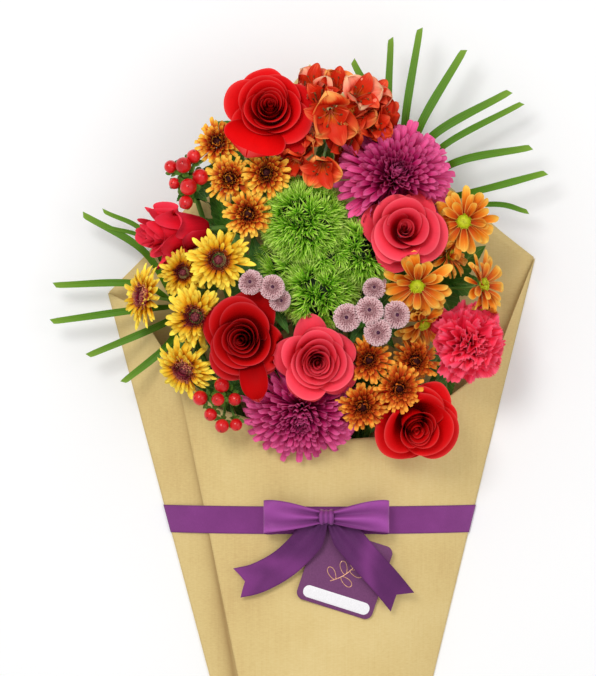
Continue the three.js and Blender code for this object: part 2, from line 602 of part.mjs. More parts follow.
// Grass blades: root fan, the point where it comes out from the flowers, its cut tip, its width.
const GRASS = [
  ['grass_right', [72, 212, 42], [73, 277, 44], 6],
  ['grass_right', [84, 208, 46], [96, 284.6, 46], 6.5],
  ['grass_right', [95, 205, 42], [131, 268, 42], 7],
  ['grass_right', [104, 198, 46], [167, 235, 46], 7],
  ['grass_right', [112, 190, 41], [177, 226, 40], 5.5],
  ['grass_right', [122, 178, 45], [184, 191, 42], 6.5],
  ['grass_right', [148, 158, 42], [196, 171, 38], 6],
  ['grass_right', [152, 146, 38], [182, 140, 34], 4.5],
  ['grass_left', [-123, 109, 32], [-171, 138, 32], 6],
  ['grass_left', [-128, 83, 28], [-194, 82, 28], 6],
  ['grass_left', [-131, 62, 33], [-196, 53, 30], 6],
  ['grass_left', [-108, 51, 33], [-167, 26, 33], 6],
  ['grass_left', [-104, 34, 38], [-139, 5, 38], 6],
];

const GRASS_STEP = 5; // from the root of one grass blade to the next

function vector([x, y, z]) {
  return new THREE.Vector3(x, y, z);
}

// The folded sleeve

function sleeveSides(y) {
  return {
    left: LEFT_CORNER.x + (LEFT_CORNER.y - y) * LEFT_TAPER,
    right: RIGHT_CORNER.x - (RIGHT_CORNER.y - y) * RIGHT_TAPER,
  };
}

function acrossSleeve(share, y) {
  const { left, right } = sleeveSides(y);
  return (left + right) / 2 + (share * (right - left)) / 2;
}

// The height of the front's inner face: an arch from crease to crease, higher towards the flowers.
function frontHeight(share, y) {
  const crown = y < BAND_TOP ? 42 + 0.1 * (y - BAND_TOP) : 42 + 0.2 * (y - BAND_TOP);
  return PAPER / 2 + crown * (1 - Math.abs(share) ** 2.4);
}

function frontAt(x, y) {
  const { left, right } = sleeveSides(y);
  return frontHeight((2 * x - left - right) / (right - left), y) + PAPER;
}

function lipAt(share) {
  const next = LIP.findIndex(([place]) => place >= share);
  const [[s0, y0], [s1, y1]] = [LIP[Math.max(next - 1, 0)], LIP[Math.max(next, 1)]];
  return y0 + ((y1 - y0) * (share - s0)) / (s1 - s0);
}

const LOW_ROWS = [SLEEVE_END, BAND_TOP - BAND_WIDTH - 2, BAND_TOP + 2]; // y of the level rows
const LIP_ROWS = [0.5, 1]; // then rows by their share of the way up to the lip

// The rows of points of one flap of the front, `shift` above its inner face.
function flapRows(shares, shift) {
  const top = LOW_ROWS[LOW_ROWS.length - 1];
  const point = (share, y) => vector([acrossSleeve(share, y), y, frontHeight(share, y) + shift]);
  return [
    ...LOW_ROWS.map((y) => shares.map((share) => point(share, y))),
    ...LIP_ROWS.map((part) => shares.map((share) => point(share, top + part * (lipAt(share) - top)))),
  ];
}

const LIP_PLACES = LIP.map(([share]) => share);
const LEFT_FLAP = [...LIP_PLACES.filter((share) => share <= FREE_EDGE), FREE_EDGE + FLAP_LAP];
const RIGHT_FLAP = LIP_PLACES.filter((share) => share >= FREE_EDGE);
const TUCK = PAPER + GAP; // how far the left flap lies below the right one

function outlineBox(x0, x1, y0, y1, z0, z1) {
  const box = new THREE.BoxGeometry(x1 - x0, y1 - y0, z1 - z0);
  return solid(box.translate((x0 + x1) / 2, (y0 + y1) / 2, (z0 + z1) / 2));
}

function backSheet(z0, z1) {
  const low = sleeveSides(SLEEVE_END);
  const outline = new THREE.Shape([
    [low.left, SLEEVE_END], [low.right, SLEEVE_END], [RIGHT_CORNER.x, RIGHT_CORNER.y],
    [RIGHT_SHOULDER.x, RIGHT_SHOULDER.y], [SLEEVE_PEAK.x, SLEEVE_PEAK.y],
    [LEFT_SHOULDER.x, LEFT_SHOULDER.y], [LEFT_CORNER.x, LEFT_CORNER.y],
  ].map(([x, y]) => new THREE.Vector2(x, y)));
  return solid(new THREE.ExtrudeGeometry(outline, { depth: z1 - z0, bevelEnabled: false }).translate(0, 0, z0));
}

// The paper is one folded sheet. Its back is lifted over the ribbon that passes under it.
function paperSleeve() {
  const inset = (shares) => shares.map((share) => share * 0.998);
  const right = slab(flapRows(inset(RIGHT_FLAP), PAPER), flapRows(inset(RIGHT_FLAP), 0));
  const left = slab(flapRows(inset(LEFT_FLAP), PAPER), flapRows(inset(LEFT_FLAP), 0));
  const seat = PAPER / 2;
  const tucked = left.translate([0, 0, -TUCK]).subtract(outlineBox(-300, 300, -300, 300, -50, seat - 0.1));
  const bandLow = BAND_TOP - BAND_WIDTH;
  const lift = RIBBON + 0.25;
  const groove = outlineBox(-300, 300, bandLow - 0.6, BAND_TOP + 0.6, -10, lift + 0.4);
  const bump = backSheet(lift, lift + PAPER).intersect(outlineBox(-300, 300, bandLow - 3, BAND_TOP + 3, 0, 10));
  return largest(join([backSheet(0, PAPER), right, tucked]).subtract(groove).add(bump));
}

// Everything below the front's outer face: the flowers stay above it.
function underFront() {
  const shares = LIP_PLACES;
  const top = flapRows(shares, PAPER + GAP);
  return slab(top, top.map((row) => row.map((p) => p.clone().setZ(-5))));
}

// Ribbon, tag and tie

function ribbonBand() {
  const loop = (y, out) => {
    const { left, right } = sleeveSides(y);
    const edge = GAP + out;
    const front = LIP_PLACES.slice(1, -1).map((share) =>
      vector([acrossSleeve(share, y), y, frontHeight(share, y) + PAPER + edge]));
    const crease = PAPER / 2 + PAPER + 2 * edge;
    return [
      vector([right + edge + 0.1, y, RIBBON - out]), vector([right + edge + 0.1, y, crease]),
      ...front.reverse(),
      vector([left - edge - 0.1, y, crease]), vector([left - edge - 0.1, y, RIBBON - out]),
    ];
  };
  const low = BAND_TOP - BAND_WIDTH;
  return ring(loop(BAND_TOP, RIBBON), loop(BAND_TOP, 0), loop(low, RIBBON), loop(low, 0));
}

// One loop of the bow, running out from the knot along X: a teardrop band, wider at its far end.
function bowLoop(side) {
  const length = 50;
  const steps = 8;
  const loop = (edge, inset) => Array.from({ length: steps }, (_, k) => {
    const angle = (2 * Math.PI * k) / steps;
    const out = 0.5 + 0.5 * Math.cos(angle);
    const reach = 2 + inset + (length - 2 - 2 * inset) * out;
    const rise = (7.5 - inset) * Math.sin(angle) * (0.45 + 0.55 * out) + 8 - 1.5 * (1 - out);
    const half = 5.5 + 8.5 * out;
    return vector([BOW.x + side * reach, BOW.y + edge * half, BOW.z + rise]);
  });
  return ring(loop(1, 0), loop(1, RIBBON + 0.2), loop(-1, 0), loop(-1, RIBBON + 0.2));
}

// A ribbon tail through a line of points, with a swallow cut at its end.
function tail(points, width, notch) {
  const rows = points.map((p, i) => {
    const here = vector(p);
    const before = vector(points[Math.max(i - 1, 0)]);
    const after = vector(points[Math.min(i + 1, points.length - 1)]);
    const along = after.sub(before).setZ(0).normalize();
    const across = new THREE.Vector3(-along.y, along.x, 0);
    const spread = (i === 0 ? 0.4 : 1) * (width / 2);
    const cut = i === points.length - 1 ? notch : 0;
    return [1, 0, -1].map((side) =>
      here.clone().addScaledVector(across, side * spread).addScaledVector(along, side === 0 ? -cut : 0));
  });
  const lower = rows.map((row) => row.map((p) => p.clone().setZ(p.z - RIBBON - 0.2)));
  return slab(lower, rows);
}

const LEFT_TAIL = [[19, -103, 52.6], [7, -115, 50], [-12, -131, 45.5], [-32, -145, 38], [-49, -155, 31]];
const RIGHT_TAIL = [[26, -102, 48.2], [38, -117, 49], [54, -136, 47], [70, -154, 41], [82.5, -169.5, 34]];

function ribbonBow() {
  const knot = new THREE.IcosahedronGeometry(1, 0).scale(10.5, 7, 6.2).translate(BOW.x, BOW.y, BOW.z + 5.4);
  return join([
    solid(knot), bowLoop(-1), bowLoop(1),
    tail(LEFT_TAIL, BAND_WIDTH, 9), tail(RIGHT_TAIL, BAND_WIDTH, 9),
  ]);
}

// The gift tag: a card with round corners that leans on the paper below the bow.
function giftTag() {
  const [w, h, r] = [TAG.width / 2, TAG.height / 2, TAG.corner];
  const outline = new THREE.Shape();
  outline.moveTo(-w + r, -h);
  outline.lineTo(w - r, -h).absarc(w - r, -h + r, r, -Math.PI / 2, 0);
  outline.lineTo(w, h - r).absarc(w - r, h - r, r, 0, Math.PI / 2);
  outline.lineTo(-w + r, h).absarc(-w + r, h - r, r, Math.PI / 2, Math.PI);
  outline.lineTo(-w, -h + r).absarc(-w + r, -h + r, r, Math.PI, 1.5 * Math.PI);
  const card = new THREE.ExtrudeGeometry(outline, { depth: TAG.thick, bevelEnabled: false, curveSegments: 3 });
  const lean = new THREE.Vector3(0.066, -0.12, 1).normalize();
  const rest = frontAt(TAG.x, -178) + GAP + 0.15 + 0.12 * (TAG.y + 178);
  card.rotateZ(TAG.turn);
  card.applyQuaternion(new THREE.Quaternion().setFromUnitVectors(new THREE.Vector3(0, 0, 1), lean));
  return solid(card.translate(TAG.x, TAG.y, rest));
}

// The binding round the bundle of stems: a flat band, wider at the back where most stems lie.
function stemTie() {
  const splay = 0.5; // room for the stems' spread across the band's width
  const back = 3 * STEM_PITCH + STEM + GAP + splay;
  const front = 2 * STEM_PITCH + STEM + GAP + splay;
  const low = STEM_FLOOR - STEM - GAP;
  const high = STEM_FLOOR + 3 * STEM_PITCH + STEM + GAP;
  const loop = (y, out) => [
    [-back, low, -1, 0], [-back + 1.5, low, 0, -1], [back - 1.5, low, 0, -1], [back, low + 1.5, 1, 0],
    [back, low + STEM_PITCH, 1, 0], [front + 1.5, high - STEM_PITCH, 1, 0.4], [front, high - 1.5, 1, 0.4],
    [front - 2, high, 0, 1], [-front + 2, high, 0, 1], [-front, high - 1.5, -1, 0.4],
    [-front - 1.5, high - STEM_PITCH, -1, 0.4], [-back, low + STEM_PITCH, -1, 0],
  ].map(([x, z, outX, outZ]) => vector([TIE.x + x + out * outX, y, z + out * outZ]));
  const [y0, y1] = [TIE.y - TIE.width / 2, TIE.y + TIE.width / 2];
  return ring(loop(y1, TIE.wall), loop(y1, 0), loop(y0, TIE.wall), loop(y0, 0));
}

// Stems

// A bloom's seat, the way that it faces, and the matrix that puts it there.
function stance(at, facing, depth) {
  const axis = vector(facing).normalize();
  const seat = vector(at).addScaledVector(axis, -depth);
  const turn = new THREE.Quaternion().setFromUnitVectors(new THREE.Vector3(0, 0, 1), axis);
  return { axis, seat, matrix: new THREE.Matrix4().compose(seat, turn, new THREE.Vector3(1, 1, 1)) };
}

// A main stem from its cut end, through its place in the tied bundle, level to where it starts to rise,
// then in a bend up to `target`, which it reaches in the direction `axis`, and straight on through
// `ends`, pairs of a distance and a radius.
function mainStem([row, place, places], target, axis, ends) {
  const x = TIE.x + (place - (places - 1) / 2) * STEM_PITCH;
  const z = STEM_FLOOR + row * STEM_PITCH;
  const foot = new THREE.Vector3(TIE.x + (x - TIE.x) * SPLAY, STEM_END + 1.5 * row + 2 * (place % 2), z);
  const leave = new THREE.Vector3(x, TIE.y + 14, z);
  const run = target.clone().sub(leave).setZ(0).normalize();
  const rise = target.clone().addScaledVector(run, -BEND).setZ(z);
  const bend = new THREE.CubicBezierCurve3(
    rise, rise.clone().addScaledVector(run, 0.6 * BEND), target.clone().addScaledVector(axis, -0.5 * BEND), target);
  const line = [foot, leave, ...bend.getPoints(3)];
  const radii = [...line.map(() => STEM), ...ends.map(([, radius]) => radius)];
  return stick([...line, ...ends.map(([far]) => target.clone().addScaledVector(axis, far))], radii, 5);
}

// A side branch that comes up under its bloom, and a twig that runs straight into a bloom of its own.
function sideBranch(root, seat, axis) {
  const knee = seat.clone().addScaledVector(axis, -TWIG * seat.distanceTo(root));
  const end = seat.clone().addScaledVector(axis, -2 * GAP);
  const line = new THREE.QuadraticBezierCurve3(root, knee, end).getPoints(2);
  return stick(line, line.map(() => BRANCH), 4);
}
function twig(root, seat, axis) {
  return stick([root, seat.clone().addScaledVector(axis, 2)], [BRANCH, BRANCH], 3);
}

// The point of a line at a distance back from its end.
function pointBack(line, distance) {
  const last = line.length - 1;
  const length = line[last].distanceTo(line[last - 1]);
  if (distance > length && last > 1) return pointBack(line.slice(0, last), distance - length);
  return line[last].clone().lerp(line[last - 1], distance / length);
}

// A grass blade from its root, out past the flowers, to its cut tip.
function grassBlade(root, out, tip, width) {
  const curve = new THREE.CatmullRomCurve3([root, out, tip]);
  const rows = [0, 0.35, 0.7, 1].map((share) => {
    const here = curve.getPoint(share);
    const along = curve.getTangent(share).setZ(0).normalize();
    const half = (width / 2) * [0.5, 0.9, 1, 0.7][Math.round(share * 3)];
    return [-1, 1].map((side) => here.clone().add(new THREE.Vector3(along.y, -along.x, 0).multiplyScalar(side * half)));
  });
  const lower = rows.map((row) => row.map((p) => p.clone().setZ(p.z - BLADE)));
  return slab(rows, lower);
}

// Putting it together

const random = seeded(20);
const UP = new THREE.Vector3(0, 0, 1);
const MARGIN = 1.2; // what a petal keeps from the room of a bloom in front
const ENVELOPE_SIDES = 9;
const blooms = [];
for (const [name, kind, carrier, at, facing, size] of ARRANGEMENT) {
  const { look, radius: usual, depth, make, room } = KINDS[kind];
  const radius = size ?? usual;
  const height = kind === 'berry' ? radius : depth;
  const { axis, seat, matrix } = stance(at, facing, depth);
  const inFront = [...blooms];
  const body = make(radius, depth, random, matrix, (point) => inFront.some((bloom) => bloom.holds(point)));
  const sides = ENVELOPE_SIDES;
  const profile = room.map(([share, rise]) => [(share * radius + GAP) / Math.cos(Math.PI / sides), rise * height]);
  const [low, high] = [profile[0][1] - GAP, profile[profile.length - 1][1] + GAP];
  const guard = placed(turned([[0, low], ...profile, [0, high]], sides), matrix);
  const home = matrix.clone().invert();
  const holds = (point) => {
    const here = point.clone().applyMatrix4(home);
    const next = profile.findIndex(([, z]) => z >= here.z);
    if (next < 1) return false;
    const [[r0, z0], [r1, z1]] = [profile[next - 1], profile[next]];
    return Math.hypot(here.x, here.y) < r0 + ((r1 - r0) * (here.z - z0)) / (z1 - z0) + MARGIN;
  };
  blooms.push({ name, kind, look, carrier, axis, seat, matrix, body, guard, holds });
}
const heads = [];
for (const [carrier, at, radius] of NEEDLE_HEADS) {
  const others = [...blooms, ...heads];
  const isFree = (tip) => !others.some((bloom) => bloom.holds(tip.clone().add(vector(at))));
  heads.push({
    name: null,
    carrier,
    body: needleBall(radius, random, isFree).translate(at),
    guard: solid(new THREE.IcosahedronGeometry(1.06 * radius, 1)).translate(at),
    holds: (point) => point.distanceTo(vector(at)) < radius + MARGIN,
  });
}
const behindHeads = blooms.findIndex((bloom) => bloom.name === 'magenta_mum_low');
blooms.splice(behindHeads, 0, ...heads);

// The stems and branches of each carrier
const sticks = [];
for (const [carrier, { slot, fork }] of Object.entries(STEMS)) {
  const carried = blooms.filter((bloom) => bloom.carrier === carrier && bloom.seat);
  if (fork && !carried.length) {
    sticks.push({ carrier, ...mainStem(slot, vector(fork), UP, []) });
  } else if (fork) {
    const top = vector(fork);
    sticks.push({ carrier, ...mainStem(slot, top.clone().addScaledVector(UP, -NECK), UP, [[NECK, STEM]]) });
    carried.forEach((bloom, i) => {
      const root = top.clone().addScaledVector(UP, (-0.8 * NECK * i) / carried.length - 1);
      const reach = bloom.name ? sideBranch : twig;
      sticks.push({ carrier, bloom, ...reach(root, bloom.seat, bloom.axis) });
    });
  } else {
    const [bloom] = carried;
    const neck = bloom.seat.clone().addScaledVector(bloom.axis, -NECK);
    sticks.push({ carrier, bloom, ...mainStem(slot, neck, bloom.axis, CALYX) });
  }
}

function boxesMeet(one, other) {
  const [a, b] = [one.boundingBox(), other.boundingBox()];
  return [0, 1, 2].every((i) => a.min[i] < b.max[i] && b.min[i] < a.max[i]);
}

// A body cut clear of those that it would run into.
function giveWay(body, others) {
  return others.reduce((rest, other) => {
    const clear = !boxesMeet(rest, other.guard) || rest.intersect(other.body).isEmpty();
    return clear ? rest : rest.subtract(other.guard);
  }, body);
}

// Each bloom gives way to the blooms in front of it, to the stems that pass it and to the paper.
const front = { body: underFront(), guard: underFront() };
const placedBlooms = [];
for (const bloom of blooms) {
  const passing = sticks.filter((one) => one.bloom !== bloom && (bloom.name || one.carrier !== bloom.carrier));
  bloom.body = giveWay(bloom.body, [front, ...placedBlooms, ...passing]);
  if (bloom.name) bloom.body = largest(bloom.body);
  placedBlooms.push(bloom);
}

// Leaves and grass give way to everything else, and to the leaves before them.
const foliage = {};
const placedLeaves = [];
function grow(carrier, blade) {
  const others = sticks.filter((one) => one.carrier !== carrier);
  const body = giveWay(blade, [front, ...blooms, ...placedLeaves, ...others]);
  placedLeaves.push({ body, guard: guardOf(blade) });
  foliage[carrier] = [...(foliage[carrier] ?? []), body];
}
const stemOf = (carrier) => sticks.find((one) => one.carrier === carrier).line;
for (const [carrier, back, direction, length, width] of LEAVES) {
  const along = vector(direction).normalize();
  const side = UP.clone().cross(along).normalize();
  const turn = new THREE.Matrix4().makeBasis(along, side, along.clone().cross(side));
  grow(carrier, placed(leafBlade(length, width), turn.setPosition(pointBack(stemOf(carrier), back))));
}
for (const [carrier, out, tip, width] of GRASS) {
  const root = pointBack(stemOf(carrier), 2 + GRASS_STEP * (foliage[carrier]?.length ?? 0));
  const blade = grassBlade(root, vector(out), vector(tip), width);
  const others = sticks.filter((one) => one.carrier !== carrier);
  foliage[carrier] = [...(foliage[carrier] ?? []), giveWay(blade, [front, ...blooms, ...placedLeaves, ...others])];
}

const CARRIER_LOOKS = {
  hypericum_upper: 'berry', hypericum_lower: 'berry', alstroemeria: 'flamePetal',
  lilac_buttons_left: 'lilacPetal', lilac_buttons_right: 'lilacPetal', grass_left: 'grass', grass_right: 'grass',
  green_dianthus_1: 'moss', green_dianthus_2: 'moss', green_dianthus_3: 'moss',
};

const SLIVER = 0.03; // edges shorter than this, left where bodies were cut, are closed up
const bouquet = new THREE.Group();

function addPiece(name, body, look, matrix = new THREE.Matrix4()) {
  const plain = body.asOriginal().simplify(SLIVER);
  const { vertProperties, triVerts } = placed(plain, matrix.clone().invert()).getMesh();
  const geometry = new THREE.BufferGeometry();
  geometry.setAttribute('position', new THREE.BufferAttribute(vertProperties, 3));
  geometry.setIndex(new THREE.BufferAttribute(triVerts, 1));
  geometry.computeVertexNormals();
  const mesh = new THREE.Mesh(geometry, MATERIALS[look]);
  mesh.name = name;
  mesh.applyMatrix4(matrix);
  bouquet.add(mesh);
}

for (const { name, body, look, matrix } of blooms) {
  if (name) addPiece(name, body, look, matrix);
}
for (const carrier of Object.keys(STEMS)) {
  const own = sticks.filter((one) => one.carrier === carrier).map((one) => one.body);
  const grown = blooms.filter((bloom) => !bloom.name && bloom.carrier === carrier).map((bloom) => bloom.body);
  const body = largest(join([...own, ...grown, ...(foliage[carrier] ?? [])]));
  addPiece(carrier, body, CARRIER_LOOKS[carrier] ?? 'stem');
}
addPiece('paper_sleeve', paperSleeve(), 'kraft');
addPiece('ribbon_band', ribbonBand(), 'satin');
addPiece('ribbon_bow', ribbonBow(), 'satin');
addPiece('gift_tag', giftTag(), 'card');
addPiece('stem_tie', stemTie(), 'twine');

export default bouquet;
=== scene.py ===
"""The looks of the mixed flower bouquet: finer blooms, leaves, stems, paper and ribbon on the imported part.

Lengths are in millimetres until a mesh is made. +X is the bouquet's right, +Y runs from the cut
stems to the flower heads, and +Z points away from the surface that the bouquet lies on.
"""

import math

import bpy
import numpy as np
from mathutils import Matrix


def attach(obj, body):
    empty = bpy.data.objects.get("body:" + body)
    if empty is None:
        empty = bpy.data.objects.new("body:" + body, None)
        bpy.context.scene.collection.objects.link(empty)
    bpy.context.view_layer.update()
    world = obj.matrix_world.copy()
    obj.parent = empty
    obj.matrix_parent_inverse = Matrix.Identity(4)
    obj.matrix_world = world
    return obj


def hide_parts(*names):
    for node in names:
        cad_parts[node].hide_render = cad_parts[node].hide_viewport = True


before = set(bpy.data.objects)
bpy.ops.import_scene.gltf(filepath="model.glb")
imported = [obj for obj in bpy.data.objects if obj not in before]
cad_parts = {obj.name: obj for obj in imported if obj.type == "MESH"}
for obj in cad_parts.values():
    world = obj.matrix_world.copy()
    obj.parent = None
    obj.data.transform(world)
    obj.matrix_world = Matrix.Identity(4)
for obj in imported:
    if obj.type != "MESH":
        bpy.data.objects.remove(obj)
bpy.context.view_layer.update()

MM = 0.001
GOLDEN = math.radians(137.508)  # the turn from one leaf or needle to the next
WELD = 3  # decimals of a millimetre to which points that meet are one
UP = np.array([0.0, 0.0, 1.0])


def unit(vector):
    """Each vector divided by its own length."""
    vector = np.asarray(vector, float)
    return vector / np.linalg.norm(vector, axis=-1, keepdims=True)


def turn_to(axis):
    """The rotation that takes +Z to the axis by the shortest way: one, plus the matrix K of the cross
    product with Z x axis, plus K squared over one plus the axis's height."""
    a = unit(axis)
    v = np.cross(UP, a)
    k = np.array([[0, -v[2], v[1]], [v[2], 0, -v[0]], [-v[1], v[0], 0]])
    return np.eye(3) + k + k @ k / (1 + a[2])


def spin(angle):
    """The rotation about Z by an angle in radians."""
    c, s = math.cos(angle), math.sin(angle)
    return np.array([[c, -s, 0], [s, c, 0], [0, 0, 1]])


class Skin:
    """Grids of points gathered into one mesh, each with its UVs, a tone and a material slot."""

    def __init__(self):
        self.points, self.faces, self.uvs, self.tones, self.slots = [], [], [], [], []
        self.count = 0

    def add(self, grids, tone=0.5, slot=0, along=None):
        """Adds grids of shape (n, rows, columns, 3). U runs along the columns and V along the rows, where
        `along` gives the share at each row if they aren't evenly spaced. The tone is one number, one for
        each grid, or one for each point."""
        grids = np.asarray(grids, float)
        if grids.ndim == 3:
            grids = grids[None]
        n, rows, columns, _ = grids.shape
        index = np.arange(n * rows * columns).reshape(n, rows, columns) + self.count
        corners = [index[:, :-1, :-1], index[:, :-1, 1:], index[:, 1:, 1:], index[:, 1:, :-1]]
        faces = np.stack(corners, -1).reshape(-1, 4)
        u, v = np.meshgrid(np.linspace(0, 1, columns), np.linspace(0, 1, rows) if along is None else along)
        tone = np.asarray(tone, float)
        tone = tone if tone.ndim > 1 else np.broadcast_to(tone, (n,))[:, None, None]
        self.points.append(grids.reshape(-1, 3))
        self.faces.append(faces)
        self.uvs.append(np.tile(np.stack([u, v], -1).reshape(-1, 2), (n, 1)))
        self.tones.append(np.broadcast_to(tone, (n, rows, columns)).ravel())
        self.slots.append(np.full(len(faces), slot))
        self.count += n * rows * columns

    def petal(self, *place, tone=0.5, slot=0, rows=7, **shape):
        """Adds the petals that petals() makes."""
        self.add(petals(*place, rows=rows, **shape), tone, slot, petal_rows(rows))

    def paint(self, slot):
        """Gives another material slot to the faces of the first one."""
        self.slots = [np.where(slots == 0, slot, slots) for slots in self.slots]

    def join(self, other, matrix, origin, size=(1, 1, 1), bend=None):
        """Adds another skin, scaled, turned by the matrix, moved to the origin and then bent."""
        moved = [(points * size) @ matrix.T + origin for points in other.points]
        self.points += [bend(points) for points in moved] if bend else moved
        self.faces += [faces + self.count for faces in other.faces]
        self.uvs += other.uvs
        self.tones += other.tones
        self.slots += other.slots
        self.count += other.count

    def build(self, name, materials, record_slot, replaced):
        """Makes the Blender object, which rides on the part and stands for the replaced nodes. Points that
        meet become one, and a face that this makes narrower loses a corner or goes."""
        points, faces, slots = (np.concatenate(part) for part in (self.points, self.faces, self.slots))
        uvs, tones = np.concatenate(self.uvs), np.concatenate(self.tones)
        _, first, welded = np.unique(np.round(points, WELD), axis=0, return_index=True, return_inverse=True)
        corners = welded.reshape(-1)[faces]
        kept = corners != np.roll(corners, 1, axis=1)
        kept &= (kept.sum(1) > 2)[:, None]
        sides = kept.sum(1)
        whole = sides > 0
        sides = sides[whole]
        mesh = bpy.data.meshes.new(name)
        mesh.vertices.add(len(first))
        mesh.vertices.foreach_set("co", (points[first] * MM).ravel())
        mesh.loops.add(sides.sum())
        mesh.loops.foreach_set("vertex_index", corners[kept])
        mesh.polygons.add(len(sides))
        mesh.polygons.foreach_set("loop_start", np.cumsum(sides) - sides)
        mesh.polygons.foreach_set("use_smooth", np.ones(len(sides), bool))
        mesh.polygons.foreach_set("material_index", slots[whole])
        mesh.update(calc_edges=True)
        mesh.uv_layers.new(name="UVMap").data.foreach_set("uv", uvs[faces[kept]].ravel())
        mesh.attributes.new("tone", "FLOAT", "POINT").data.foreach_set("value", tones[first])
        for material in materials:
            mesh.materials.append(material)
        piece = bpy.data.objects.new(name, mesh)
        bpy.context.scene.collection.objects.link(piece)
        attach(piece, "root")
        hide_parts(*replaced)
        return piece


def petal_rows(rows):
    """Shares of a petal's length, closer together towards its tip: one minus a power of the share left."""
    return 1 - (1 - np.linspace(0, 1, rows)) ** 1.6


def petals(az, root, level, length, width, low, high, rng, *, bend=1.5, ease=0.0, cup=0.0, wrap=0.0,
           widest=0.6, heel=0.4, blunt=2.0, fan=0.0, ruffle=0.0, waves=2.0, fringe=0.0, teeth=9,
           roll=0.0, curl=0.0, rows=7, columns=5):
    """Petals round an axis, as grids of shape (n, rows, columns, 3).

    Each starts at the radius `root` and the height `level`, and runs outwards for `length` while its
    slope turns from `low` to `high` degrees, later for a larger `bend` and less towards its sides for
    a larger `ease`. Its half-width grows from the share `heel` to `width` at the share `widest` of the
    length, and closes in a round end that is squarer for a larger `blunt`; `fan` shortens the sides of
    an open end. The edges rise by `cup`, the petal follows a circle round the axis by the share `wrap`,
    `roll` tips it sideways and `ruffle` waves it. `fringe` draws out teeth at the end, and `curl` rolls
    back its sides near the end.
    """
    n = len(az)

    def full(value):
        """One value for all petals, or one for each, in a shape that goes with the grids."""
        return np.broadcast_to(np.asarray(value, float), (n,))[:, None, None]

    def summed(part):
        """Adds up a value from the root on: over each step, the mean of its two ends."""
        middle = (part[:, 1:] + part[:, :-1]) / 2 * np.diff(s, axis=1)
        return np.cumsum(np.concatenate([np.zeros((n, 1, columns)), middle], 1), 1)

    s = petal_rows(rows)[None, :, None]
    t = np.linspace(1, -1, columns)[None, None, :]
    slope = np.radians(full(low) + (full(high) - full(low)) * s ** full(bend) * (1 - ease * t ** 2))
    run, climb = summed(np.cos(slope)), summed(np.sin(slope))
    grow = heel + (1 - heel) * np.sin(np.pi / 2 * np.clip(s / widest, 0, 1))
    past = np.clip((s - widest) / max(1 - widest, 0.01), 0, 1)
    close = np.clip(1 - past ** blunt, 0, 1) ** (1 / blunt)
    half = full(width) * np.maximum(np.where(s <= widest, grow, close), 0.03)
    phase = rng.uniform(0, 2 * np.pi, (n, 1, 1))
    wave = full(ruffle) * s ** 1.5 * np.sin(np.pi * full(waves) * t + phase + 1.5 * s)
    tooth = 1 + fringe * s ** 6 * (np.abs((t * teeth / 2 + phase) % 1 - 0.5) * 4 - 1) - fan * t ** 2 * s
    side = t * half
    lift = full(cup) * half * t ** 2 - full(curl) * half * t ** 4 * s ** 2 + wave
    lean = np.radians(full(roll))
    side, lift = side * np.cos(lean) - lift * np.sin(lean), side * np.sin(lean) + lift * np.cos(lean)
    r = full(root) + run * full(length) * tooth - lift * np.sin(slope)
    z = full(level) + climb * full(length) * tooth + lift * np.cos(slope)
    around = full(az) + full(wrap) * side / np.maximum(r, 4)
    flat = (1 - full(wrap)) * side
    x = r * np.cos(around) - flat * np.sin(around)
    y = r * np.sin(around) + flat * np.cos(around)
    return np.stack([x, y, z * np.ones_like(x)], -1)


def whorl(count, start, rng, loose=0.12):
    """Evenly spaced angles with a little play."""
    return start + 2 * np.pi * (np.arange(count) + rng.normal(0, loose, count)) / count


def turned(profile, columns=20):
    """A profile of (radius, height) pairs turned about Z, as one grid."""
    r, z = np.asarray(profile, float).T[:, :, None]
    angle = np.linspace(0, 2 * np.pi, columns)[None, :]
    return np.stack([r * np.cos(angle), r * np.sin(angle), z + 0 * angle], -1)


def dome(radius, height, level, rows=7, columns=20):
    """The upper half of an ellipsoid on a level: a quarter of an ellipse turned about Z."""
    lift = np.linspace(0, np.pi / 2, rows)
    return turned(np.stack([radius * np.cos(lift), level + height * np.sin(lift)], -1), columns)


def tube(line, radii, columns=9):
    """A round tube along a line of points: circles of the given radii, square to the line."""
    line = np.asarray(line, float)
    radii = np.broadcast_to(np.asarray(radii, float), (len(line),))
    along = unit(np.gradient(line, axis=0))
    across = np.cross(along, UP)
    upright = np.linalg.norm(across, axis=1) < 0.15
    across[upright] = np.cross(along[upright], [0.0, 1.0, 0.0])
    across = unit(across)
    up = np.cross(along, across)
    angle = np.linspace(0, 2 * np.pi, columns)[None, :, None]
    ring = np.cos(angle) * across[:, None] + np.sin(angle) * up[:, None]
    return line[:, None] + ring * radii[:, None, None]


def bezier(points, count):
    """Points along a Bezier curve of any degree: neighbours in the control polygon are mixed by the share
    along the curve until one point is left."""
    share = np.linspace(0, 1, count)[:, None, None]
    layer = np.repeat(np.asarray(points, float)[None], count, 0)
    while layer.shape[1] > 1:
        layer = layer[:, :-1] * (1 - share) + layer[:, 1:] * share
    return layer[:, 0]


def smooth_line(points, count):
    """A Catmull-Rom line: between two points it is a cubic whose slope at each is half the step from the
    point before to the point after."""
    p = np.asarray(points, float)
    p = np.concatenate([2 * p[:1] - p[1:2], p, 2 * p[-1:] - p[-2:-1]])
    share = np.linspace(0, len(p) - 3 - 1e-9, count)
    i = share.astype(int)
    f = (share - i)[:, None]
    a, b, c, d = p[i], p[i + 1], p[i + 2], p[i + 3]
    square, cube = 2 * a - 5 * b + 4 * c - d, 3 * b - a - 3 * c + d
    return 0.5 * (2 * b + (c - a) * f + square * f ** 2 + cube * f ** 3)


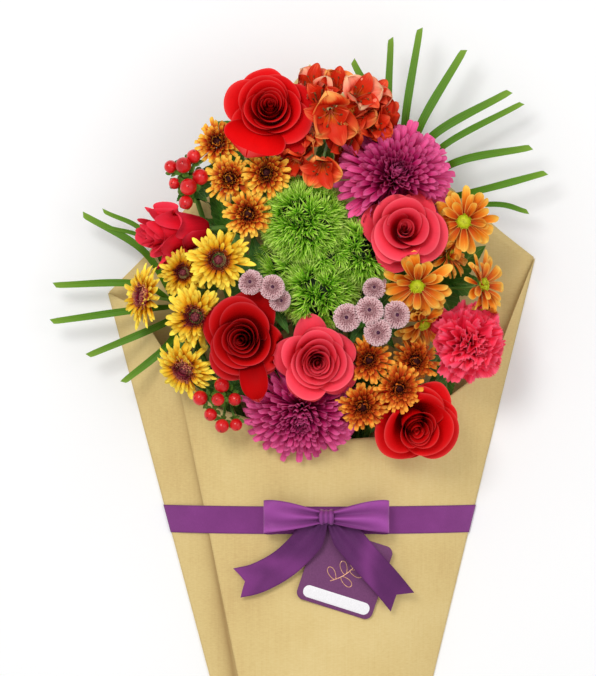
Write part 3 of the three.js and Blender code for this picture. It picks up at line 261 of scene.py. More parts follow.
def linear(code):
    """A colour code such as C4141C as linear red, green, blue and alpha, by the sRGB curve."""
    part = np.array([int(code[i:i + 2], 16) for i in (0, 2, 4)]) / 255
    part = np.where(part <= 0.04045, part / 12.92, ((part + 0.055) / 1.055) ** 2.4)
    return (*part, 1.0)


class Value:
    """A number that nodes work out. A sum, product or power of it adds the node for that."""

    def __init__(self, nodes, socket):
        self.nodes, self.socket = nodes, socket

    def __add__(self, other):
        return self.nodes.math("ADD", self, other)

    def __sub__(self, other):
        return self.nodes.math("SUBTRACT", self, other)

    def __rsub__(self, other):
        return self.nodes.math("SUBTRACT", other, self)

    def __mul__(self, other):
        return self.nodes.math("MULTIPLY", self, other)

    def __pow__(self, power):
        return self.nodes.math("POWER", self, power)

    def __abs__(self):
        return self.nodes.math("ABSOLUTE", self)


class Nodes:
    """The node tree of a new material, with short ways to add and join nodes."""

    def __init__(self, name):
        self.material = bpy.data.materials.new(name)
        self.material.use_nodes = True
        self.tree = self.material.node_tree
        self.shader = self.tree.nodes["Principled BSDF"]

    def put(self, socket, value):
        """Joins a node's output to a socket, or sets the socket to a number or colour."""
        value = value.socket if isinstance(value, Value) else value
        if isinstance(value, bpy.types.NodeSocket):
            self.tree.links.new(value, socket)
        else:
            socket.default_value = linear(value) if isinstance(value, str) else value

    def add(self, kind, **sockets):
        """A new node with values for its sockets."""
        node = self.tree.nodes.new("ShaderNode" + kind)
        for name, value in sockets.items():
            self.put(node.inputs[name.replace("_", " ")], value)
        return node

    def math(self, operation, a, b=0.0):
        """A maths operation on one or two numbers."""
        node = self.add("Math")
        node.operation = operation
        self.put(node.inputs[0], a)
        self.put(node.inputs[1], b)
        return Value(self, node.outputs[0])

    def uv(self):
        """The UVs, then their U across a petal and their V along it."""
        uv = self.add("UVMap").outputs[0]
        split = self.add("SeparateXYZ", Vector=uv)
        return uv, Value(self, split.outputs["X"]), Value(self, split.outputs["Y"])

    def place(self):
        """The object's own coordinates."""
        return self.add("TexCoord").outputs["Object"]

    def tone(self):
        """The tone that the skin carries at each point."""
        node = self.add("Attribute")
        node.attribute_name = "tone"
        return Value(self, node.outputs["Fac"])

    def noise(self, vector, scale, detail=3.0, seed=None):
        """Noise from 0 to 1, of another pattern for each seed."""
        node = self.add("TexNoise", Vector=vector, Scale=scale, Detail=detail)
        if seed is not None:
            node.noise_dimensions = "4D"
            self.put(node.inputs["W"], seed)
        return Value(self, node.outputs["Fac"])

    def drawn(self, vector, stretch, detail, seed=None):
        """Noise drawn out by one factor for each axis."""
        return self.noise(self.add("Mapping", Vector=vector, Scale=stretch).outputs[0], 1.0, detail, seed)

    def ramp(self, place, stops):
        """Colours that run evenly from stop to stop."""
        node = self.add("ValToRGB", Fac=place)
        band = node.color_ramp
        while len(band.elements) < len(stops):
            band.elements.new(0.5)
        for element, (position, colour) in zip(band.elements, stops):
            element.position = position
            element.color = linear(colour)
        return node.outputs[0]

    def mix(self, share, a, b):
        """Colour a, with the given share of colour b."""
        node = self.add("Mix")
        node.data_type = "RGBA"
        for socket, value in zip((node.inputs["Factor"], node.inputs[6], node.inputs[7]), (share, a, b)):
            self.put(socket, value)
        return node.outputs[2]

    def bump(self, height, relief):
        """Raises the surface by a height, in millimetres of relief."""
        node = self.add("Bump", Height=height, Distance=relief * MM, Strength=1.0)
        self.tree.links.new(node.outputs[0], self.shader.inputs["Normal"])

    def finish(self, colour, rough, **sockets):
        """Puts the colour and the even values on the shader."""
        for name, value in dict(Base_Color=colour, Roughness=rough, **sockets).items():
            self.put(self.shader.inputs[name.replace("_", " ")], value)
        return self.material


def petal_material(name, stops, *, streak=0.16, lines=26, shift=0.2, vary=0.35, relief=0.25, edge=None,
                   edge_share=0.35, edge_power=26, specular=0.15):
    """Colour from root to tip by `stops`, broken up by fine streaks along the petal; each petal has a
    tone of its own, which moves the colours by `shift` and changes their light by `vary`. `edge` tints
    the rim, in a thinner line for a larger power; on the roses this tint is a painted highlight along
    the rims. The streaks also stand out a little."""
    n = Nodes(name)
    uv, across, along = n.uv()
    tone = n.tone()
    seed = tone * 37
    fine, broad = n.drawn(uv, (lines, 1.6, 1), 3, seed), n.drawn(uv, (3, 2.2, 1), 2, seed)
    colour = n.ramp(along + (fine - 0.5) * (2 * streak) + (tone - 0.5) * shift, stops)
    if edge:
        # Rim mask; on the roses the pale rim it lays is a painted highlight.
        rim = (n.math("MAXIMUM", abs(across - 0.5) * 2, along) * 0.995) ** edge_power
        colour = n.mix(rim * edge_share, colour, edge)
    light = (tone - 0.5) * vary + 1 + (broad - 0.5) * 0.5
    shade = n.add("HueSaturation", Color=colour, Value=light)
    n.bump(fine + broad * 2, relief)
    return n.finish(shade.outputs[0], 0.5, Specular_IOR_Level=specular)


def rose_material(name, stops, edge, **more):
    """A rose petal: hardly streaked, with a thin pale rim that is a painted highlight."""
    values = dict(edge_share=0.45, edge_power=60, streak=0.05, relief=0.2, specular=0.02)
    return petal_material(name, stops, edge=edge, **{**values, **more})


def grained_material(name, dark, bright, scale, *, detail=4, low=0.3, rough=0.55, relief=0.06, **sockets):
    """Card, foil or raffia: two close colours in a fine grain, in the object's own coordinates."""
    n = Nodes(name)
    grain = n.noise(n.place(), scale, detail)
    n.bump(grain, relief)
    return n.finish(n.ramp(grain, [(low, dark), (1 - low, bright)]), rough, **sockets)


def speckled_material(name, dark, bright, scale=900):
    """A dense eye, a core or an anther: a coarse, raised grain."""
    return grained_material(name, dark, bright, scale, detail=2, low=0.35, rough=0.7, relief=0.4,
                            Specular_IOR_Level=0.3)


def berry_material():
    """Glossy red skin, with a paler cheek and a few dark flecks."""
    n = Nodes("berry_skin")
    place = n.place()
    colour = n.ramp(n.noise(place, 70, 2), [(0.3, "B80A10"), (0.55, "DC1418"), (0.75, "EE342C")])
    fleck = n.math("GREATER_THAN", n.noise(place, 900, 2), 0.7)
    n.bump(n.noise(place, 260), 0.15)
    return n.finish(n.mix(fleck * 0.25, colour, "5A0A08"), 0.3, Specular_IOR_Level=0.3, Coat_Weight=0.3,
                    Coat_Roughness=0.1)


def leaf_material(name, dark, bright, vein):
    """Green with a paler midrib and side veins that slant towards the tip, and mottled between them. A
    vein is a high power of one minus a sine along the leaf, the midrib one of the distance from it."""
    n = Nodes(name)
    _, u, along = n.uv()
    across = abs(u - 0.5)
    side = (1 - abs(n.math("SINE", (along - across * 0.45) * (9 * math.pi)))) ** 6
    line = n.math("MINIMUM", (1 - across * 2) ** 24 + side * 0.45, 1)
    mottle = n.noise(n.place(), 160, 4)
    colour = n.mix(line, n.ramp(mottle, [(0.3, dark), (0.7, bright)]), vein)
    n.bump(mottle * 0.5 - line, 0.3)
    return n.finish(colour, 0.5, Specular_IOR_Level=0.4)


def blade_material(name, dark, bright, tip):
    """A grass blade or a stem: fine ribs along it, paler towards the tip."""
    n = Nodes(name)
    uv, _, along = n.uv()
    rib = n.drawn(uv, (34, 0.7, 1), 2)
    colour = n.ramp(rib + n.tone() * 0.15, [(0.3, dark), (0.7, bright)])
    n.bump(rib, 0.3)
    return n.finish(n.mix(along ** 7 * 0.6, colour, tip), 0.45, Specular_IOR_Level=0.3)


def kraft_material():
    """Brown wrapping paper: fine lengthwise ribs, short fibres, a soft mottle and slight handling creases.
    A tone below a half shades it."""
    n = Nodes("kraft_paper")
    place = n.place()
    mottle, fibre = n.noise(place, 14, 4), n.drawn(place, (260, 1500, 400), 3)
    rib, crease = n.drawn(place, (900, 6, 200), 2), n.drawn(place, (16, 9, 9), 5)
    share = mottle * 0.5 + fibre * 0.35 + rib * 0.15
    colour = n.ramp(share, [(0.3, "D0B074"), (0.5, "DEC383"), (0.72, "E8D094")])
    shade = n.math("MAXIMUM", 1 - n.tone() * 2, 0)
    n.bump(crease * 9 + (fibre * 0.25 + rib), 0.16)
    return n.finish(n.mix(shade, colour, "A07E4C"), 0.62, Specular_IOR_Level=0.25)


def satin_material():
    """Plum satin ribbon: a fine cross weave, darker woven edges and soft lustre. Most of its light and dark
    is painted light and shade of the folds, which their tone carries."""
    n = Nodes("plum_satin")
    _, u, _ = n.uv()
    place = n.place()
    weave, cloud = n.drawn(place, (2600, 700, 900), 2), n.noise(place, 40, 3)
    selvage = n.math("GREATER_THAN", abs(u - 0.5), 0.465)
    # The tone brings in the painted light and shade of the folds.
    share = (weave * 0.4 + cloud * 0.6) * 0.35 + n.tone() * 0.65
    colour = n.ramp(share, [(0.15, "46204A"), (0.5, "813B7F"), (0.8, "A851A6")])
    n.bump(weave + selvage * 1.5, 0.08)
    return n.finish(n.mix(selvage * 0.35, colour, "541F52"), 0.45, Sheen_Weight=0.2, Sheen_Roughness=0.4,
                    Specular_IOR_Level=0.4, Specular_Tint=linear("D69AD6"), Anisotropic=0.3)


# Blooms, each with its seat at the origin and its face towards +Z. A table by np.linspace runs evenly from
# its first ring, the outer one, to its last.

def rings(skin, table, rng, slot=0, unruly=1.0, **shape):
    """Adds a ring of petals for each row of a table: count, root radius, level, length, half-width,
    slope at the root, slope at the tip, tone. Every petal differs a little from its neighbours, more
    for a larger `unruly`."""
    for i, (count, root, level, length, width, low, high, tone) in enumerate(table):
        n = int(round(count))
        skin.petal(whorl(n, i * GOLDEN, rng, 0.12 * unruly), root, level,
                   length * rng.normal(1, 0.05 * unruly, n), width * rng.normal(1, 0.07, n),
                   low + rng.normal(0, 4 * unruly, n), high + rng.normal(0, 8 * unruly, n), rng,
                   tone=np.clip(tone + rng.normal(0, 0.13, n), 0, 1), slot=slot,
                   roll=rng.normal(0, 9 * unruly, n), **shape)
    return skin


# Rings of a rose from the middle outwards: count, radius at the root, radius and height at the rim, how
# far the rim rolls out, half-angle covered, tone.
FULL_ROSE = [
    (2, 0.5, 2.0, 40.0, 0.3, 160, 0.25), (2, 1.0, 4.4, 41.0, 0.6, 145, 0.30),
    (2, 1.8, 7.2, 41.5, 0.8, 132, 0.36), (2, 2.8, 10.2, 41.0, 1.1, 125, 0.42),
    (3, 3.8, 13.4, 40.5, 1.6, 108, 0.48), (3, 4.8, 18.6, 38.5, 3.2, 100, 0.56),
    (3, 5.6, 23.6, 34.5, 4.8, 86, 0.64), (4, 6.4, 29.0, 28.5, 6.5, 66, 0.74),
    (5, 7.0, 33.5, 19.0, 6.0, 52, 0.82),
]
DEEP_ROSE = [
    (2, 0.5, 2.2, 38.0, 0.3, 160, 0.25), (2, 1.2, 4.8, 40.0, 0.5, 145, 0.30),
    (2, 2.2, 7.8, 41.0, 0.8, 135, 0.36), (3, 3.2, 11.0, 41.5, 1.0, 112, 0.42),
    (3, 4.2, 14.6, 41.0, 1.6, 106, 0.50), (3, 5.4, 23.0, 38.0, 4.8, 94, 0.60),
    (3, 6.2, 28.5, 31.0, 7.0, 78, 0.72), (4, 7.0, 33.0, 21.0, 6.5, 60, 0.82),
]
OPEN_ROSE = [
    (2, 0.4, 1.4, 38.0, 0.3, 160, 0.4), (2, 0.8, 3.0, 38.5, 0.6, 135, 0.45),
    (3, 1.4, 5.0, 38.0, 0.9, 98, 0.5), (2, 2.2, 7.2, 36.5, 1.0, 125, 0.5),
    (3, 5.0, 16.0, 41.5, 2.8, 104, 0.56), (3, 6.0, 21.5, 38.5, 5.8, 92, 0.64),
    (3, 6.6, 27.5, 31.5, 7.5, 76, 0.76), (4, 7.0, 33.0, 22.0, 6.5, 58, 0.84),
]
RIM_FROM = 0.74  # share of a rose petal's height from which it rolls out
BUD_HEIGHT = 44  # height that the rings of a closed rose come near to


def rose(rng, table=FULL_ROSE, furl=1.0, frill=1.0, lean=(2.0, 3.0)):
    """Rings of cupped petals, rolled tight in the middle. A petal covers an angle to both sides. From root
    to rim its radius grows steeply and then slowly, its height the other way round, and at the rim it rolls
    out and down, furthest in its middle. It is shorter at its sides, so that their ends tuck in behind the
    next petal. `furl` is the share by which the rings open, `frill` waves the rims, and `lean` shifts the
    middle sideways against the outer rings. `share` runs from 0 in the middle to 1 outside."""
    skin = Skin()
    s, t = np.linspace(0, 1, 25)[None, :, None], np.linspace(1, -1, 31)[None, None, :]
    for i, (count, root, rim, height, roll, cover, tone) in enumerate(table):
        share = i / (len(table) - 1)
        around = whorl(count, i * GOLDEN, rng, 0.07)[:, None, None]
        vary = rng.normal(0, 1, (6, count, 1, 1))
        drop = 0.10 + 0.26 * share
        beside = np.abs(t + 0.14 * vary[0]) ** (4.2 - 1.7 * share)
        up = s * np.maximum(1 - drop * beside * (1 - 0.1 * vary[1]), 0.3)
        out = np.clip((up - RIM_FROM) / (1 - RIM_FROM), 0, 1) ** 2
        wave = np.sin((1.2 + frill) * t + 3 * vary[2]) + 0.32 * frill * np.sin(5.5 * t + 5 * vary[5])
        wave = frill * wave * s ** 3
        r = root + (rim * furl * (1 + 0.035 * vary[3]) - root) * up ** (0.42 + 0.5 * share)
        r = r + (0.6 + 0.9 * share) * t + (roll * (1 + 0.35 * vary[4])) * out + (0.2 + 0.5 * share) * wave
        r = r + 1.8 * share * np.exp(-(t / 0.3) ** 2) * out
        level = 9 - 5 * share
        tall = height * furl + BUD_HEIGHT * (1 - furl) - level + 1.2 * share * vary[5]
        z = level + tall * up ** (1.0 + 0.35 * share) - 0.55 * roll * out ** 2 + (0.4 + 1.1 * share) * wave
        narrow = 0.62 + 0.38 * np.sin(np.pi / 2 * np.clip(s / 0.45, 0, 1))
        angle = around + math.radians(cover) * narrow * t
        shift = (1 - share) * up
        x, y = r * np.cos(angle) + lean[0] * shift, r * np.sin(angle) + lean[1] * shift
        skin.add(np.stack([x, y, z + 0 * r], -1), np.clip(tone + rng.normal(0, 0.1, count), 0, 1))
    return skin


def carnation(rng):
    """Fans on narrow claws, crumpled and toothed, from flat at the outside to upright in the middle."""
    table = np.linspace((8, 5, 8, 27, 14, 18, -10, 0.6), (5, 0.8, 19, 18, 9, 84, 70, 0.45), 6)
    return rings(Skin(), table, rng, bend=2, wrap=0.3, widest=1.0, heel=0.14, fan=0.2, ruffle=4.2, unruly=2.2,
                 waves=2.6, fringe=0.05, teeth=17, rows=15, columns=41)


def disbud(rng):
    """Long hollow straps with spoon ends outside, shorter towards the middle, where they curve inwards."""
    table = np.linspace((34, 7, 5, 43, 2.7, 6, -14, 0.85), (13, 2.0, 21, 12, 1.6, 80, 124, 0.1), 14)
    return rings(Skin(), table, rng, bend=1.6, cup=1.1, widest=0.92, rows=11)


def bronze_mum(rng):
    """Six rings of spoon-ended rays that rise towards the middle, and an eye of four rings of tiny
    upright florets on a low dome."""
    table = np.linspace((21, 4.4, 5, 15.4, 1.75, 14, -8, 0.9), (14, 2.8, 9, 6.6, 1.2, 62, 112, 0.1), 6)
    skin = rings(Skin(), table, rng, cup=0.9, widest=0.88, heel=0.3, unruly=2)
    skin.add(dome(4.2, 2.4, 10), 0.5, 1)
    eye = np.linspace((18, 4.0, 10.2, 2.6, 0.8, 48, 62, 0.4), (6, 0.5, 12.4, 1.8, 0.6, 80, 90, 0.6), 4)
    return rings(skin, eye, rng, 1, rows=4, columns=3)


def yellow_mum(rng):
    """Rays outside, a wide ring of short florets that curve inwards, and a grained dome."""
    table = np.linspace((20, 6, 5, 20.5, 2.3, 8, -14, 0.8), (18, 6.4, 9, 12, 1.8, 44, 16, 0.3), 5)
    skin = rings(Skin(), table, rng, cup=0.6, widest=0.74, blunt=1.7, unruly=2)
    eye = np.linspace((30, 9.4, 8, 6.4, 1.3, 48, 104, 0.9), (14, 3.6, 10.4, 4.4, 1.0, 74, 112, 0.4), 6)
    rings(skin, eye, rng, 1)
    skin.add(dome(4.0, 2.0, 10.5), 0.5, 2)
    return skin


def daisy(rng):
    """Three rings of broad rays, the inner ones steeper, and an eye of tiny buds in rings on a dome."""
    table = np.linspace((12, 5.6, 5, 22.5, 4.1, 12, -4, 0.7), (9, 5, 8, 17, 3.4, 44, 20, 0.35), 3)
    skin = rings(Skin(), table, rng, cup=0.4, widest=0.74, blunt=2.1, unruly=2.2, rows=10, columns=7)
    skin.add(dome(6.2, 3.4, 7), 0.5, 1)
    eye = np.linspace((24, 5.6, 8, 1.9, 0.8, 40, 80, 0.7), (4, 0.4, 10.6, 1.6, 0.6, 88, 90, 0.3), 7)
    return rings(skin, eye, rng, 1, rows=3, columns=3)


def button_mum(rng):
    """Twelve rings of tiny petals whose roots lie on half an ellipsoid, with a small dark eye."""
    table = np.linspace((34, 8.4, 4.6, 2.9, 0.85, 6, -40, 0.7), (8, 1.6, 9.3, 1.7, 0.6, 78, 90, 0.4), 12)
    table[:, 2] = 4.6 + 4.8 * np.sqrt(1 - ((table[:, 1] - 1.6) / 6.9) ** 2)
    skin = rings(Skin(), table, rng, cup=0.5, blunt=3, rows=5, columns=3)
    skin.add(dome(8.6, 4.4, 4.4), 0.1)
    skin.add(dome(1.5, 1.0, 9.2), 0.2, 1)
    return skin


def floret(rng):
    """A trumpet of three broad tepals and three narrow streaked ones between them, with curved stamens."""
    skin = Skin()
    broad = whorl(3, rng.uniform(0, 2), rng, 0.06)
    closed = rng.uniform(8, 44)
    skin.petal(broad, 2.8, 4, 27, 10.0 * rng.normal(1, 0.07, 3), 80, closed + rng.normal(0, 14, 3), rng,
               bend=1.9, widest=0.68, heel=0.14, blunt=1.75, cup=0.35, ruffle=2.2, waves=1.8, fringe=0.04,
               teeth=5, roll=rng.normal(0, 12, 3), rows=16, columns=15, tone=rng.uniform(0.1, 0.95, 3))
    skin.petal(broad + math.pi / 3, 2.4, 6, 28, 6.2, 82, closed + 14 + rng.normal(0, 12, 3), rng, bend=1.6,
               widest=0.62, heel=0.2, blunt=1.7, cup=0.5, ruffle=0.8, waves=1, rows=16, columns=9,
               tone=rng.uniform(0.2, 0.8, 3), slot=1)
    skin.add(turned([(1.9, 0), (2.6, 3), (3.6, 7)], 14), 0.6)
    for angle in whorl(6, 0.2, rng):
        out = np.array([math.cos(angle), math.sin(angle), 0])
        line = bezier([[0, 0, 4], out * 1.5 + [0, 0, 16], out * 6 + [0, 0, 23 + rng.normal(0, 1)]], 8)
        skin.add(tube(line, 0.35, 6), 0.5, 2)
        anther = line[-1] + out * [[-1.3], [0], [1.3]] + [[0, 0, -0.2], [0, 0, 0.3], [0, 0, -0.2]]
        skin.add(tube(anther, [0.2, 0.7, 0.2], 6), 0.5, 3)
    return skin


CORE = 0.7  # radius of the ball inside a green head, as a share of the head's; its near-black colour is painted shade among the needles


def needles(centre, radius, count, rng):
    """Short flat needles outwards from a ball. They bunch in tufts: each needle starts from the nearest of
    some spread-out directions, leans a little its own way, and folds along its middle. The directions
    turn by the golden angle while their height falls evenly."""
    k = np.arange(count) + 0.5
    z = 1 - 2 * k / count
    ring = np.sqrt(1 - z * z)
    out = np.stack([ring * np.cos(k * GOLDEN), ring * np.sin(k * GOLDEN), z], -1)
    tufts = out[rng.choice(count, count // 40, replace=False)]
    tuft = (out @ tufts.T).argmax(1)
    height = rng.uniform(0.0, 1.0, len(tufts))[tuft]
    start = unit(0.85 * tufts[tuft] + 0.15 * out) * radius * CORE
    tip = out + rng.normal(0, 0.07, out.shape)
    tip = unit(tip) * radius * (0.94 + 0.14 * height + 0.1 * rng.random(count))[:, None]
    side = unit(np.cross(tip - start, rng.normal(0, 1, out.shape)))
    share = np.linspace(0, 1, 4)[None, :, None, None]
    sag = rng.normal(0, 0.06 * radius, (count, 1, 1, 3)) * share * (1 - share)
    line = start[:, None, None] + (tip - start)[:, None, None] * share + sag
    half = 0.62 * (1 - share ** 3) + 0.06
    edge = np.array([1, 0, -1])[None, None, :, None]
    fold = unit(np.cross(side, tip))[:, None, None] * 0.4 * np.abs(edge) * half
    return np.asarray(centre) + line + side[:, None, None] * edge * half + fold


def berry(radius, rng):
    """A slightly pointed berry with a short dark style and five little sepals under it: a ball whose height
    gains a high power of the sine of the latitude."""
    lift = np.linspace(-np.pi / 2, np.pi / 2, 12)
    profile = np.stack([radius * np.cos(lift), radius * (np.sin(lift) + 0.06 * np.sin(lift) ** 9)], -1)
    skin = Skin()
    skin.add(turned(profile, 16), rng.random())
    skin.add(turned([(0.5, radius), (0.3, radius * 1.12), (0, radius * 1.2)], 6), 0.5, 1)
    skin.petal(whorl(5, 0, rng), 0.5, -radius, radius * 1.5, radius * 0.42, -12, 62, rng, slot=2)
    return skin


# Half-width of a leaf along its length, and of a grass blade.
LEAF_OUTLINE = [0, 0.06, 0.2, 0.38, 0.6, 0.8, 0.93, 1], [0.06, 0.34, 0.82, 1, 0.86, 0.5, 0.2, 0.02]
BLADE_OUTLINE = [0, 0.35, 0.7, 0.97, 1], [0.5, 0.9, 1, 0.8, 0.66]


def leaf(root, direction, length, width, rng, rows=43, columns=11):
    """A pointed leaf from a root in a direction: it droops with the square of the way along, folds up
    from its midrib, is waved, and has saw teeth."""
    s, t = np.linspace(0, 1, rows)[:, None], np.linspace(1, -1, columns)[None, :]
    tooth = 1 - 0.11 * ((s * 13 + 0.3) % 1) * np.abs(t) ** 3
    y = 0.5 * width * np.interp(s, *LEAF_OUTLINE) * tooth * t
    z = -0.18 * length * s ** 2 + 0.35 * np.abs(y) + 0.03 * width * np.sin(9 * s + rng.uniform(0, 6)) * t
    along = unit(direction)
    side = unit(np.cross(UP, along))
    return np.stack([length * s + 0 * y, y, z], -1) @ np.stack([along, side, np.cross(along, side)]) + root


def grass_blade(root, out, tip, width):
    """A narrow blade along a smooth line through three points. Its rims are raised in proportion to its
    width, and its tip is cut at a slant."""
    line = smooth_line([root, out, tip], 30)
    along = unit(np.gradient(line, axis=0) * [1, 1, 0])
    across = np.stack([along[:, 1], -along[:, 0], 0 * along[:, 0]], -1)
    half = 0.5 * width * np.interp(np.linspace(0, 1, 30), *BLADE_OUTLINE)
    edge = np.linspace(-1, 1, 7)[None, :, None]
    grid = line[:, None] + across[:, None] * edge * half[:, None, None]
    grid[..., 2] += 0.9 * np.abs(edge[..., 0]) * half[:, None] / half.max()
    grid[-1] += along[-1] * edge[0] * 1.4
    return grid


# The arrangement and the sleeve, as in the part's source: the ribbon's upper edge and width, the paper's
# thickness and the gap between pieces, then the corners of the sheet behind the flowers.
BAND_TOP, BAND_WIDTH, PAPER, GAP = -93.3, 22.0, 0.9, 0.3
LEFT_CORNER, RIGHT_CORNER, PEAK = (-152.4, 76.0), (189.2, 104.0), (9.0, 259.0)
LEFT_SHOULDER, RIGHT_SHOULDER = (-124.4, 104.0), (163.6, 124.0)
# The sleeve's lower end, and the shares across it at which the right flap ends and by which it laps
# over the left one.
SLEEVE_END, FREE_EDGE, FLAP_LAP = -262.4, -0.745, 0.1
# The lip of the sleeve's front: share across it, and y.
LIP = np.array([
    (-1, 76), (-0.92, 69), (-0.835, 49), (FREE_EDGE, 12), (-0.55, -16), (-0.33, -26), (-0.11, -37),
    (0.12, -40), (0.35, -38), (0.55, -29), (0.68, -10), (0.8, 5), (0.92, 22), (1, 104)])
# The tied bundle: its middle, radius of a stem and of a branch, distance between stems, height of the
# lowest ones, y of the cut ends, and how far these spread.
TIE_X, TIE_Y = 18.8, -153.0
STEM, BRANCH, STEM_PITCH, STEM_FLOOR, STEM_END, SPLAY = 2.1, 1.3, 4.45, 4.8, -284.5, 1.3
NECK, BEND = 20.0, 42.0  # length of the straight neck under a bloom, and of the bend below it
FURLED_BACK = 14.0  # how far the goblet of the furled rose reaches back over its calyx

# Kinds of bloom: maker with its values, percentage of its points within its radius, distance from seat to
# face, height. A ruffled rose has wavy rims, a deep one a broad swirl inside few large petals, an open one
# a small bud that stands free, and a furled one is still a goblet with a ruffled mouth.
KINDS = {
    "rose": (rose, {}, 99.5, 42.0, 41.5),
    "ruffled": (rose, dict(frill=2.1, lean=(2.5, -4.0)), 99.5, 42.0, 41.5),
    "deep": (rose, dict(table=DEEP_ROSE, frill=1.2, lean=(-3.5, -3.5)), 99.5, 42.0, 41.5),
    "open": (rose, dict(table=OPEN_ROSE, frill=1.2, lean=(-3.0, 2.4)), 99.5, 42.0, 41.5),
    "furled": (rose, dict(furl=0.62, frill=3.0, lean=(0, 0)), 99.5, 42.0, 62.0),
    "carnation": (carnation, {}, 98, 37.0, 41.0),
    "disbud": (disbud, {}, 98, 34.0, 37.0),
    "bronze": (bronze_mum, {}, 98, 12.0, 13.4),
    "yellow": (yellow_mum, {}, 99, 14.0, 15.6),
    "daisy": (daisy, {}, 97, 12.0, 18.0),
    "button": (button_mum, {}, 97, 10.0, 10.4),
    "floret": (floret, {}, 96, 14.0, 24.0),
}
# Blooms from the front to the back: name, kind, carrier, middle of the face, direction it faces, radius,
# look. A bloom without a name grows together with its carrier.
ARRANGEMENT = [
    ("orange_daisy_2", "daisy", "orange_daisy_stem", (92, 78, 106), (-0.1, -0.5, 1), 27, "orange"),
    ("coral_rose_right", "open", "coral_rose_right_stem", (85, 125, 118), (0.08, 0.08, 1), 31, "coral"),
    ("", "button", "lilac_buttons_right", (55, 62, 124), (0, 0.1, 1), 11, "lilac"),
    ("", "button", "lilac_buttons_right", (62, 44, 121), (0.1, -0.1, 1), 11, "lilac"),
    ("", "button", "lilac_buttons_right", (37, 56, 121), (-0.15, 0, 1), 11, "lilac"),
    ("", "button", "lilac_buttons_right", (77, 58, 116), (0.2, 0, 1), 11, "lilac"),
    ("", "button", "lilac_buttons_right", (59, 80, 110), (0, 0.3, 1), 9, "lilac"),
    ("coral_rose_centre", "ruffled", "coral_rose_centre_stem", (14, 22, 120), (0.02, -0.05, 1), 31, "coral"),
    ("", "floret", "alstroemeria", (25, 213, 111), (0.03, -0.5, 1), 23, "flame"),
    ("red_rose_top", "rose", "red_rose_top_stem", (-24, 221, 110), (-0.05, 0.2, 1), 34, "red"),
    ("", "floret", "alstroemeria", (18, 173, 110), (-0.1, -0.6, 1), 17, "flame"),
    ("", "floret", "alstroemeria", (48, 230, 100), (0.5, 0.3, 1), 17, "salmon"),
    ("", "floret", "alstroemeria", (30, 237, 94), (0.1, 0.7, 1), 15, "flame"),
    ("", "floret", "alstroemeria", (11, 239, 88), (-0.2, 0.8, 1), 16, "salmon"),
    ("", "floret", "alstroemeria", (58, 207, 92), (0.6, 0, 1), 16, "scarlet"),
    ("bronze_mum_3", "bronze", "bronze_mum_upper_stem", (-25, 169, 104), (0, 0.05, 1), 19.5, "gold"),
    ("bronze_mum_4", "bronze", "bronze_mum_upper_stem", (-40, 137, 102), (-0.1, 0, 1), 19.5, "gold"),
    ("yellow_mum_1", "yellow", "yellow_mum_stem", (-63, 101, 104), (-0.1, 0, 1), 26, "yellow"),
    ("", "button", "lilac_buttons_left", (-38, 84, 112), (-0.1, 0.1, 1), 10, "lilac"),
    ("", "button", "lilac_buttons_left", (-20, 80, 116), (0.1, 0.1, 1), 10, "lilac"),
    ("", "button", "lilac_buttons_left", (-13, 69, 108), (0.3, -0.1, 1), 9, "lilac"),
    ("dark_rose_left", "deep", "dark_rose_left_stem", (-43, 41, 116), (-0.08, 0.02, 1), 33, "dark"),
    ("bronze_mum_5", "bronze", "bronze_mum_lower_stem", (55, 23, 108), (0.05, -0.05, 1), 19.5, "copper"),
    ("bronze_mum_6", "bronze", "bronze_mum_lower_stem", (79, 0, 103), (0.15, -0.15, 1), 19.5, "copper"),
    ("bronze_mum_7", "bronze", "bronze_mum_lower_stem", (50, -15, 98), (0, -0.3, 1), 19.5, "copper"),
    ("orange_daisy_1", "daisy", "orange_daisy_stem", (129, 130, 95), (-0.05, -0.2, 1), 27, "orange"),
    ("bronze_mum_2", "bronze", "bronze_mum_upper_stem", (-55, 165, 99), (-0.2, 0.1, 1), 19.5, "gold"),
    ("yellow_mum_3", "yellow", "yellow_mum_stem", (-82, 56, 95), (-0.2, -0.1, 1), 26, "yellow"),
    ("bronze_mum_1", "bronze", "bronze_mum_upper_stem", (-65, 195, 91), (-0.3, 0.3, 1), 19.5, "gold"),
    ("magenta_mum_top", "disbud", "magenta_mum_top_stem", (79, 173, 106), (0.18, 0.35, 1), 47, "magenta"),
    ("pink_carnation", "carnation", "pink_carnation_stem", (138, 35, 98), (0.25, -0.05, 1), 31, "pink"),
    ("red_rose_low", "deep", "red_rose_low_stem", (97, -32, 94), (0.28, -0.38, 1), 34, "red"),
    ("orange_daisy_5", "daisy", "orange_daisy_stem", (100, 47, 86), (0.4, -0.8, 0.7), 24, "orange"),
    ("bronze_mum_8", "bronze", "bronze_mum_lower_stem", (93, 22, 86), (0.25, -0.05, 1), 19.5, "copper"),
    ("orange_daisy_4", "daisy", "orange_daisy_stem", (150, 83, 82), (0.9, 0.2, 0.6), 27, "orange"),
    ("yellow_mum_4", "yellow", "yellow_mum_stem", (-92, 12, 84), (-0.5, -0.7, 1), 26, "yellow"),
    ("magenta_mum_low", "disbud", "magenta_mum_low_stem", (2, -29, 92), (-0.06, -0.65, 1), 47, "magenta"),
    ("yellow_mum_2", "yellow", "yellow_mum_stem", (-128, 73, 76), (-1, 0.1, 0.55), 26, "yellow"),
    ("yellow_mum_5", "yellow", "yellow_mum_stem", (-92, 92, 78), (-0.2, 0.1, 1), 20, "yellow"),
    ("red_rose_side", "furled", "red_rose_side_stem", (-120, 120, 66), (-1, -0.12, 0.3), 24, "side"),
    ("orange_daisy_3", "daisy", "orange_daisy_stem", (124, 105, 82), (1, -0.1, 0.5), 21, "orange"),
]
